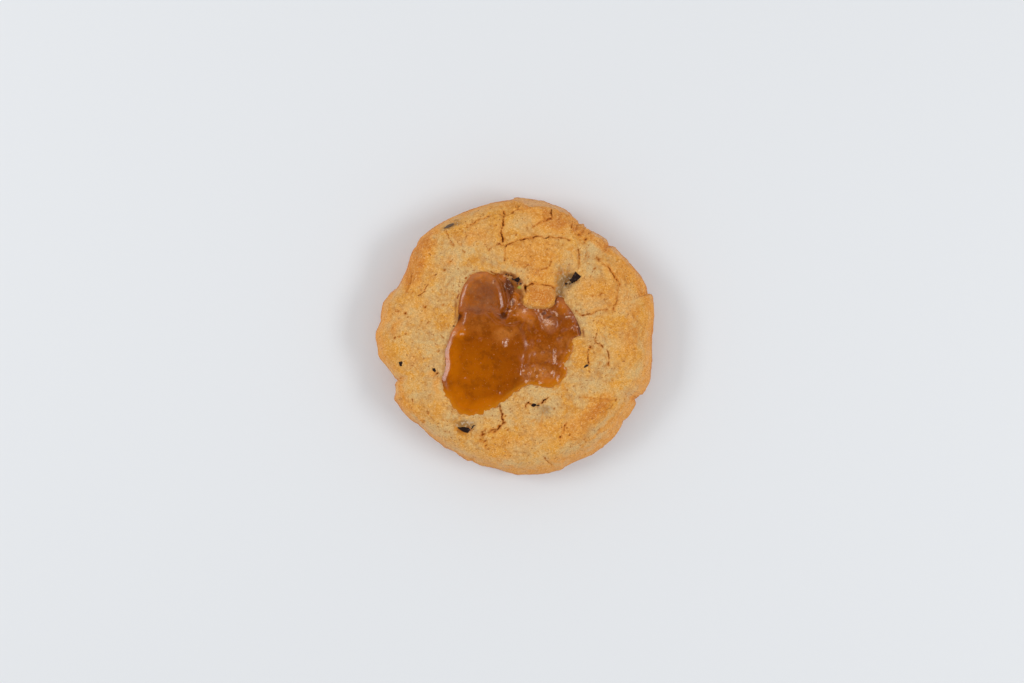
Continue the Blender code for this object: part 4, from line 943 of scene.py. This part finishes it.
# %% Shape its shores
even = flush * np.exp(-((inland / 1.1) ** 2)) * step(-0.1, 0.3, nz)
z_shore = z + even * (level - z)
rim_t, rim_h = (-0.4, 0.0, 0.3, 2.1, 2.8, 3.5), (-1.7, -1.2, -0.84, -0.1, -0.01, 0.0)
rim = level + np.interp(inland + 0.15 * rough(x, y, z, 2.2, 4.4), rim_t, rim_h)
z_shore += proud * step(3.4, 2.4, inland) * step(-0.1, 0.3, nz) * (rim - z)
sideways = step(0.75, 0.2, nz) * step(1.3, 0.3, inland) * step(-0.6, -0.1, nz) * (1 - proud)
sideways *= 0.75 + flush * (0.8 * rough(x, y, z, 1.9, 21.0) + 0.3 * rough(x, y, z, 0.8, 26.0))
x, y = x + INTO_DOUGH * nx * sideways, y + INTO_DOUGH * ny * sideways
print("band of even shore:", int((even > 0.5).sum()), "points")

# %% [markdown]
# The lobe ends in a rounded step, as a tongue of soft caramel does where it stops. Each point
# near that line takes the height of the solid well back on the lobe, less the step's profile.

# %% Shape the edge of the lobe
LOBE_TOP = 2.2  # how far behind its edge the lobe's own height is read, in millimetres
NUDGE = 0.05  # a small move that tells which way the edge lies
across = beside_line(x, y, LOBE_EDGE)
lobe_t, lobe_h = (-2.4, -1.5, -0.4, 0.3, 0.9), (0.0, -0.02, -0.46, -1.3, -1.5)
share = between_ends(x, y, LOBE_EDGE, 0.2, 1.6) * step(-2.4, -1.6, across) * step(1.0, 0.5, across)
share *= step(0.2, 1.0, inland) * (nz > 0.2)
for i in np.flatnonzero(share > 0):
    nudged = beside_line(x[i] + np.array([NUDGE, 0]), y[i] + np.array([0, NUDGE]), LOBE_EDGE)
    away_x, away_y = (nudged - across[i]) / NUDGE
    back = LOBE_TOP + across[i]
    behind = height_on(pool_tree, x[i] - away_x * back, y[i] - away_y * back)
    if behind:
        z_shore[i] += share[i] * (behind + np.interp(across[i], lobe_t, lobe_h) - z_shore[i])
print("edge of the lobe:", int((np.abs(across) < 1).sum()), "points")

# %% Shape its surface
inside = step(0.1, 1.2, inland)
wander_x, wander_y = 0.45 * rough(x, y, z, 1.8, 6.1), 0.45 * rough(x, y, z, 1.8, 16.1)
astray_x, astray_y = x + wander_x, y + wander_y
froth = step(-1.5, 5.0, x + 0.25 * y) * step(13.5, 10.5, y)
lobe = mound(x, y, (-11.5, 14.6, 8.4, 8.6, 0), 2.0)
ripple = 0.1 * rough(x, y, z, 3.2, 2.4) * (0.2 + froth) + 0.04 * rough(x, y, z, 1.4, 5.4) * (froth + lobe)
ripple += 0.02 * rough(x, y, z, 0.7, 8.4) * (0.2 * froth + lobe)
crevice = mounds(x, y, CREVICE, 1.5)
ripple += crevice * (0.16 * rough(x, y, z, 1.3, 14.4) + 0.14 * rough(x, y, z, 0.6, 18.4))
near_cell = cells(x, y, z, 2.1, 6.6)[0]
blisters = 0.42 * step(0.3, 0.05, near_cell) * step(0.05, 0.3, rough(x, y, z, 5.0, 33.0) + 0.12) * froth
relief = ripple + blisters + mounds(astray_x, astray_y, KNOBS) - mounds(x, y, HOLES)
relief -= lines(astray_x, astray_y, GROOVES)
relief += lines(x + 0.6 * wander_x, y + 0.6 * wander_y, FOLDS)
highest = cad_box[1][2] / MM
write(caramel, x, y, np.minimum(z_shore + relief * top * inside, highest))

paint(caramel, "shallow", flush * np.exp(-np.clip(inland, 0, 9) / 0.55))
# milky caramel, with painted sheen in some patches
paint(caramel, "milky_and_sheen", mounds(astray_x, astray_y, MILKY_AND_SHEEN))
paint(caramel, "amber", mounds(astray_x, astray_y, AMBER, 1.4))
paint(caramel, "froth", froth + 0.5 * lobe)
# painted highlights: small white glints on the caramel
paint(caramel, "painted_glints", mounds(x + 0.5 * wander_x, y + 0.5 * wander_y, PAINTED_GLINTS, 1.6))
paint(caramel, "lobe", lobe)
matte = 0.4 * lobe * step(-5.6, -7.6, x + 0.35 * (15 - y))
matte *= 1 - 0.85 * mound(x, y, (-18.6, 14.0, 3.4, 8.0, -8), 2.0)
matte += 0.5 * mound(x, y, (-20.5, 3.0, 2.4, 5.0, -20), 2.0)
paint(caramel, "matte", matte)
# dark caramel, and painted shade in hollows and at the recessed right shore
paint(caramel, "dark_and_shade", mounds(astray_x, astray_y, DARK_AND_SHADE, 1.5))
select_only(caramel)
bpy.ops.object.shade_smooth()
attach(caramel, "root")
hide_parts("caramel_pool")
print("caramel triangles:", sum(len(p.vertices) - 2 for p in caramel.data.polygons))

# %% [markdown]
# ## Broken chocolate
# Each piece of chocolate snapped in the mixing bowl, so it has flat breaks and sharp corners and
# not a moulded shape. Bisect cuts a mesh with a plane and can drop one side and fill the cut, just
# like a snap, so a few slanting cuts turn a block into a shard with the corners listed above. How
# much each cut slants comes from a seeded list of random numbers, the same in each run.

# %% Snap the blocks into shards
# How much more grey bloom a piece has than the others
BLOOM = {"chip_rim_top_left": 0.8, "chip_right": 0.4, "chip_bottom": 0.1}
SPARE = 1.6  # each block is enlarged first, so that every cut has something to take off
chocolates = []
for seed, (chip, corners) in enumerate(SHARDS.items()):
    piece = copy_nodes(chip.replace("chip", "chocolate"), chip)
    luck = np.random.default_rng(40 + seed)
    middle, half, plane = GROUNDS[chip]
    heart = Vector((*np.mean(corners, axis=0), 0))
    heart.z = float(plane @ (1.0, heart.x, heart.y))
    write(piece, *(heart[i] + SPARE * (axis - middle[i]) for i, axis in enumerate(read(piece))))
    tilt = Vector((luck.uniform(-0.15, 0.15) - plane[1], luck.uniform(-0.15, 0.15) - plane[2], 1))
    breaks = [(heart + Vector((0, 0, STANDS_OUT)), tilt)]
    for here, after in zip(corners, corners[1:] + corners[:1]):
        side = Vector((here[1] - after[1], after[0] - here[0], 0)).normalized()
        halfway = Vector(((here[0] + after[0]) / 2, (here[1] + after[1]) / 2, heart.z))
        if side.dot(halfway - heart) < 0:
            side.negate()
        breaks.append((halfway, side + Vector((0, 0, luck.uniform(0.1, 0.4)))))
    bpy.ops.object.mode_set(mode="EDIT")
    for spot, away in breaks:
        bpy.ops.mesh.select_all(action="SELECT")
        bpy.ops.mesh.bisect(plane_co=spot * MM, plane_no=away, use_fill=True, clear_outer=True)
    bpy.ops.mesh.select_all(action="SELECT")
    bpy.ops.mesh.quads_convert_to_tris()
    bpy.ops.mesh.subdivide(number_cuts=3)
    bpy.ops.object.mode_set(mode="OBJECT")
    x, y, z = read(piece)
    nx, ny, nz = read(piece, "normal")
    chipped = 0.08 * rough(x, y, z, 0.6, seed) + 0.04 * rough(x, y, z, 0.25, seed)
    write(piece, x + chipped * nx, y + chipped * ny, z + chipped * nz)
    select_only(piece)
    bpy.ops.object.shade_smooth_by_angle(angle=math.radians(35))
    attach(piece, "root")
    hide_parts(chip)
    paint(piece, "bloom", np.full(x.shape, BLOOM.get(chip, 0.0)))
    chocolates.append(piece)
print(len(chocolates), "pieces of chocolate")

# %% [markdown]
# ## Writing materials as sums
# A material is a graph, but most of it is arithmetic. The class below wraps a socket, so that
# adding or multiplying two of them adds the Math node that does it. Colours are mixed by Mix
# nodes, because a Math node would turn them grey. Everything else comes from `add`.

# %% A socket that can be reckoned with


def tone(red, green, blue):
    """A colour as a screen shows it, from 0 to 255, as the renderer's own linear numbers."""
    parts = [c / 255 for c in (red, green, blue)]
    return tuple(c / 12.92 if c <= 0.04045 else ((c + 0.055) / 1.055) ** 2.4 for c in parts) + (1,)


class Wire:
    """An output socket on a material's sheet."""

    def __init__(self, sheet, socket):
        self.sheet = sheet
        self.socket = socket

    def __add__(self, other):
        return self.sheet.maths("ADD", self, other)

    def __sub__(self, other):
        return self.sheet.maths("SUBTRACT", self, other)

    def __rsub__(self, other):
        return self.sheet.maths("SUBTRACT", other, self)

    def __mul__(self, other):
        return self.sheet.maths("MULTIPLY", self, other)

    __radd__ = __add__
    __rmul__ = __mul__


class Sheet:
    """One material's nodes."""

    def __init__(self, name, **constants):
        self.material = bpy.data.materials.new(name)
        self.material.use_nodes = True
        self.nodes = self.material.node_tree.nodes
        self.links = self.material.node_tree.links
        self.shader = self.nodes["Principled BSDF"]
        self.place = self.add("ShaderNodeTexCoord", output="Object")
        self.colour = None  # what has been laid on so far
        self.feed(self.shader, {name.replace("_", " "): value for name, value in constants.items()})

    def feed(self, node, inputs):
        for key, value in inputs.items():
            if isinstance(value, Wire):
                self.links.new(value.socket, node.inputs[key])
            else:
                node.inputs[key].default_value = value

    def add(self, kind, settings=None, inputs=None, output=0):
        """Any node: its settings first, then the values or links of its sockets."""
        node = self.nodes.new(kind)
        for key, value in (settings or {}).items():
            setattr(node, key, value)
        self.feed(node, inputs or {})
        return Wire(self, node.outputs[output])

    def maths(self, operation, left, right):
        settings = {"operation": operation}
        return self.add("ShaderNodeMath", settings, {0: left, 1: right})

    def read(self, name):
        """A number painted on the vertices."""
        return self.add("ShaderNodeAttribute", {"attribute_name": name}, output="Fac")

    def speckle(self, size, detail=2.0, roughness=0.5, shift=0.0):
        """Noise from about 0.3 to 0.7, in lumps of this many millimetres."""
        moved = self.add("ShaderNodeVectorMath", {"operation": "ADD"}, {0: self.place, 1: (shift, 0, 0)})
        inputs = {"Vector": moved, "Scale": 1 / (size * MM), "Detail": detail, "Roughness": roughness}
        return self.add("ShaderNodeTexNoise", {}, inputs, output="Fac")

    def between(self, value, low, high):
        """0 below low, 1 above high."""
        inputs = {"Value": value, "From Min": low, "From Max": high}
        return self.add("ShaderNodeMapRange", {"interpolation_type": "SMOOTHSTEP"}, inputs)

    def blend(self, share, first, second):
        """From the first colour to the second."""
        inputs = {"Factor": share, 6: first, 7: second}
        settings = {"data_type": "RGBA", "clamp_factor": True}
        return self.add("ShaderNodeMix", settings, inputs, output=2)

    def coat(self, share, red, green, blue):
        """Lays one more colour over the others, as strongly as the share says."""
        self.colour = self.blend(share, self.colour, tone(red, green, blue))

    def bump(self, height, strength, depth):
        inputs = {"Height": height, "Strength": strength, "Distance": depth * MM}
        return self.add("ShaderNodeBump", {}, inputs)

    def finish(self, *pieces, **inputs):
        self.feed(self.shader, {name.replace("_", " "): value for name, value in inputs.items()})
        for piece in pieces:
            piece.data.materials.clear()
            piece.data.materials.append(self.material)
        print(self.material.name, "has", len(self.nodes), "nodes")


# %% [markdown]
# ## Baked dough
# The crumb is sandy: pale sugar and flour grains on a golden ground. It browns at the rim and on
# raised knobs, and is stained grey where chocolate lies under the surface. Painted shade darkens
# tears, pits, pores, dents, the strip under lips and the valley beside the neck, and a painted
# highlight lightens raised crumb. The marks painted on the vertices say where, and fine noise
# breaks up every border.

# %% Dough material
baked = Sheet("Baked_crumb", Specular_IOR_Level=0.3)
fine = baked.speckle(0.5, detail=3, roughness=0.7)
coarse = baked.speckle(2.2, detail=4, roughness=0.6, shift=0.3)
broad = baked.speckle(9.0, detail=2, shift=0.7)
ragged = (coarse - 0.5) * 0.9 + (fine - 0.5) * 0.6

uneven = (broad - 0.5) * 3.2 + (coarse - 0.5) * 1.8 + (baked.speckle(1.2, detail=2, shift=6.0) - 0.5) * 1.2
baked.colour = baked.blend(baked.read("pale") * 0.6 + uneven + 0.32, tone(222, 152, 50), tone(206, 171, 115))
baked.coat(baked.read("side") * 0.6, 213, 170, 126)
brown = baked.read("browned") + ragged * 0.9
baked.coat(baked.between(brown, 0.05, 0.6) * 0.85, 222, 140, 36)
baked.coat(baked.between(brown, 0.6, 1.2) * 0.85, 192, 100, 16)
baked.coat(baked.read("flank") * 0.9, 212, 160, 114)
baked.coat(baked.between(baked.read("edge") + ragged * 0.4, 0.1, 0.9) * 0.85, 196, 112, 50)
baked.coat(baked.read("foot") * 0.8, 192, 104, 48)
baked.coat(baked.between(fine, 0.5, 0.64) * 0.55, 246, 208, 142)
baked.coat(baked.between(fine, 0.47, 0.35) * 0.4, 178, 108, 40)
baked.coat(baked.between(coarse, 0.5, 0.66) * 0.2, 240, 184, 92)
# painted highlight: raised crumb is coloured paler
baked.coat(baked.read("raised") * 0.35, 242, 188, 102)
# painted shade in the pores and between crumb clumps
baked.coat(baked.read("pores") * 0.35, 176, 106, 40)
# grey over chocolate under the crust, and painted shade in the valley beside the neck
grey = baked.between(baked.read("greyed_and_shaded") + ragged * 0.5, 0.05, 1.25)
baked.coat(grey * 0.8, 134, 96, 56)
# painted shade in tears, pits, dents and under lips, in two darker browns
recess_shade = baked.read("recess_shade") + (fine - 0.5) * 0.4
baked.coat(baked.between(recess_shade, 0.08, 0.4) * 0.6, 208, 130, 38)
baked.coat(baked.between(recess_shade, 0.42, 0.95) * 0.85, 166, 88, 10)
wet = baked.between(baked.read("wet") + ragged * 0.8, 0.1, 0.9)
baked.coat(wet * 0.85, 150, 82, 16)
baked.coat(baked.between(baked.read("wet") + ragged * 3.2, 1.0, 1.9) * 0.8, 86, 40, 12)
baked.coat(baked.between(baked.read("green") + ragged * 0.9, 0.2, 0.8) * 0.85, 164, 170, 62)
flecks = baked.between(baked.speckle(0.9, detail=2, shift=4.0), 0.54, 0.62)
baked.coat(flecks * grey * 0.7, 206, 190, 164)
baked.coat(baked.between(baked.read("cocoa"), 0.35, 0.6) * (1 - flecks * 0.7), 40, 22, 18)
specks = baked.between(baked.speckle(0.8, detail=1, shift=2.0), 0.66, 0.72)
baked.coat(specks * 0.75, 164, 94, 34)
grains = baked.bump(fine + coarse * 0.5, 0.6, 0.3)
baked.finish(dough, Base_Color=baked.colour, Roughness=0.72 + fine * 0.3 - wet * 0.55, Normal=grains)

# %% [markdown]
# ## Caramel
# Thick caramel is a deep red-brown, and thin caramel at the shore is amber. Where tiny air bubbles
# were beaten in it turns milky. It is very smooth and so has sharp highlights, and it is duller on
# the lobe. Some light is painted into its colour: pale sheen among the milky patches, white glints,
# grey sheen mottling the lobe, and shade in its hollows and along the recessed right shore. A little
# light scatters inside, the same all over.

# %% Caramel material
soft = Sheet(
    "Soft_caramel",
    Subsurface_Weight=0.1,
    Subsurface_Radius=(1.0, 0.35, 0.08),
    Subsurface_Scale=1.0 * MM,
    IOR=1.5,
    Specular_IOR_Level=0.36,
)
cloud = soft.speckle(3.2, detail=5, roughness=0.65)
mottle = soft.speckle(0.9, detail=4, roughness=0.7, shift=0.4)
deep = 1 - soft.read("amber") * 0.8
soft.colour = soft.blend(soft.read("amber") + (cloud - 0.5) * 0.5, tone(148, 72, 3), tone(194, 104, 1))
# milky caramel, and painted sheen in the pale patch on the right and on the lobe
soft.coat(soft.read("milky_and_sheen") * (cloud * 2.2 - 0.35), 196, 120, 52)
soft.coat(soft.between(cloud, 0.52, 0.34) * 0.5 * deep, 116, 56, 6)
busy = soft.read("froth") * 0.25 + 0.12
soft.coat(soft.between(mottle, 0.53, 0.68) * busy, 196, 118, 42)
soft.coat(soft.between(mottle, 0.47, 0.33) * busy * deep, 96, 44, 6)
# painted sheen: grey mottling on the lobe, where its fine bumps would mirror the sky
lobe_sheen = soft.read("lobe") * soft.between(soft.speckle(1.6, detail=6, roughness=0.8, shift=0.9), 0.42, 0.62)
soft.coat(lobe_sheen * 0.5, 136, 88, 56)
# dark caramel, and painted shade in hollows, the crevice and at the recessed right shore
soft.coat(soft.between(soft.read("dark_and_shade") + (mottle - 0.5) * 1.2, 0.3, 0.9) * 0.85, 92, 40, 4)
soft.coat(soft.read("shallow") * (0.4 + mottle), 198, 120, 16)
# painted highlights: white glints, broken up by fine noise
glint = soft.speckle(0.42, detail=2, shift=5.0)
glint_share = soft.between(soft.read("painted_glints") + (mottle - 0.5) * 1.0 + (glint - 0.5) * 1.6, 0.25, 0.75)
soft.coat(glint_share * 0.75, 214, 168, 138)
gloss = 0.12 + soft.read("froth") * 0.06 + soft.read("matte") * 0.5 + soft.read("dark_and_shade") * 0.2
ripples = soft.bump(mottle * (soft.read("froth") * 0.25 + soft.read("lobe") * 0.25 + 0.04), 0.35, 0.25)
soft.finish(caramel, Base_Color=soft.colour, Roughness=gloss, Normal=ripples)

# %% [markdown]
# ## Dark chocolate
# Baked chocolate loses its gloss and gets a grey bloom where the fat came out. The bloom sits on
# some breaks and not on others, so one broad noise places it, and a few pieces have more of it.

# %% Chocolate material
cocoa = Sheet("Dark_chocolate_break", Specular_IOR_Level=0.15)
patch = cocoa.speckle(1.4, detail=3)
cocoa.colour = cocoa.blend(cocoa.between(patch, 0.56, 0.7) * 0.4, tone(32, 14, 8), tone(86, 72, 68))
cocoa.coat(cocoa.between(cocoa.read("bloom") + (patch - 0.5), 0.1, 0.9), 104, 84, 68)
flecks = cocoa.bump(cocoa.speckle(0.3), 0.4, 0.15)
cocoa.finish(*chocolates, Base_Color=cocoa.colour, Roughness=0.4 + patch * 0.4, Normal=flecks)

# %% [markdown]
# ## A pale table and soft studio light
# A plain pale table takes soft shadows at the left and right, because two large soft lights stand
# there, and the rest comes from all round. Straight overhead the sky is dark: a glossy surface
# seen from above mirrors just that part, so the flat caramel keeps its full colour and only its
# slopes flash.

# %% Table
bpy.ops.object.select_all(action="DESELECT")
bpy.ops.mesh.primitive_plane_add(size=6.0, location=(0, 0, 0))
table = bpy.context.object
table.name = "table"
pale = Sheet("Pale_table", Roughness=0.6, Specular_IOR_Level=0.2)
pale.finish(table, Base_Color=tone(229, 232, 235))

# %% Lights and sky


def soft_light(name, place, power):
    """A large upright-standing strip of light, wider than it is high, that faces the cookie."""
    data = bpy.data.lights.new(name, "AREA")
    data.energy = power
    data.shape = "RECTANGLE"
    data.size, data.size_y = SOFTBOX
    lamp = bpy.data.objects.new(name, data)
    bpy.context.scene.collection.objects.link(lamp)
    lamp.location = place
    lamp.rotation_euler = Vector(place).to_track_quat("Z", "Y").to_euler()


SOFTBOX = (0.54, 0.25)  # width and height in metres
soft_light("left_softbox", (-0.735, 0.14, 0.72), 3.0)
soft_light("right_softbox", (0.725, -0.10, 0.75), 3.05)

SKY = 0.74
SKY_OVERHEAD = 0.03
DARKENS_FROM, DARK_BY = 0.86, 0.95  # height of the direction, 1 being straight up
world = bpy.data.worlds.new("Studio")
bpy.context.scene.world = world
world.use_nodes = True
sky_nodes, sky_links = world.node_tree.nodes, world.node_tree.links
direction = sky_nodes.new("ShaderNodeTexCoord")
split = sky_nodes.new("ShaderNodeSeparateXYZ")
overhead = sky_nodes.new("ShaderNodeMapRange")
overhead.interpolation_type = "SMOOTHSTEP"
overhead.inputs["From Min"].default_value = DARKENS_FROM
overhead.inputs["From Max"].default_value = DARK_BY
overhead.inputs["To Min"].default_value = SKY
overhead.inputs["To Max"].default_value = SKY_OVERHEAD
sky_links.new(direction.outputs["Generated"], split.inputs[0])
sky_links.new(split.outputs["Z"], overhead.inputs["Value"])
sky_links.new(overhead.outputs[0], sky_nodes["Background"].inputs["Strength"])
sky_nodes["Background"].inputs["Color"].default_value = (1.0, 1.0, 1.01, 1)
print("sky brightness", SKY)

# %% [markdown]
# ## Camera
# The cookie is seen from straight above, slightly left of and below its middle.

# %% Camera
CAMERA_HEIGHT = 0.588
VIEW_WIDTH = 0.3536  # width of the view at the level where the cookie is widest
WIDEST_LEVEL = 0.005
MIDDLE_X, MIDDLE_Y = -1.04 * MM, -1.73 * MM  # middle of the view
lens = bpy.data.cameras.new("Overhead")
lens.sensor_width = 36.0
lens.lens = lens.sensor_width * (CAMERA_HEIGHT - WIDEST_LEVEL) / VIEW_WIDTH
camera = bpy.data.objects.new("Overhead", lens)
camera.location = (MIDDLE_X, MIDDLE_Y, CAMERA_HEIGHT)
bpy.context.scene.collection.objects.link(camera)
bpy.context.scene.camera = camera
bpy.context.scene.view_settings.view_transform = "Standard"
print("lens", round(lens.lens, 1), "mm")
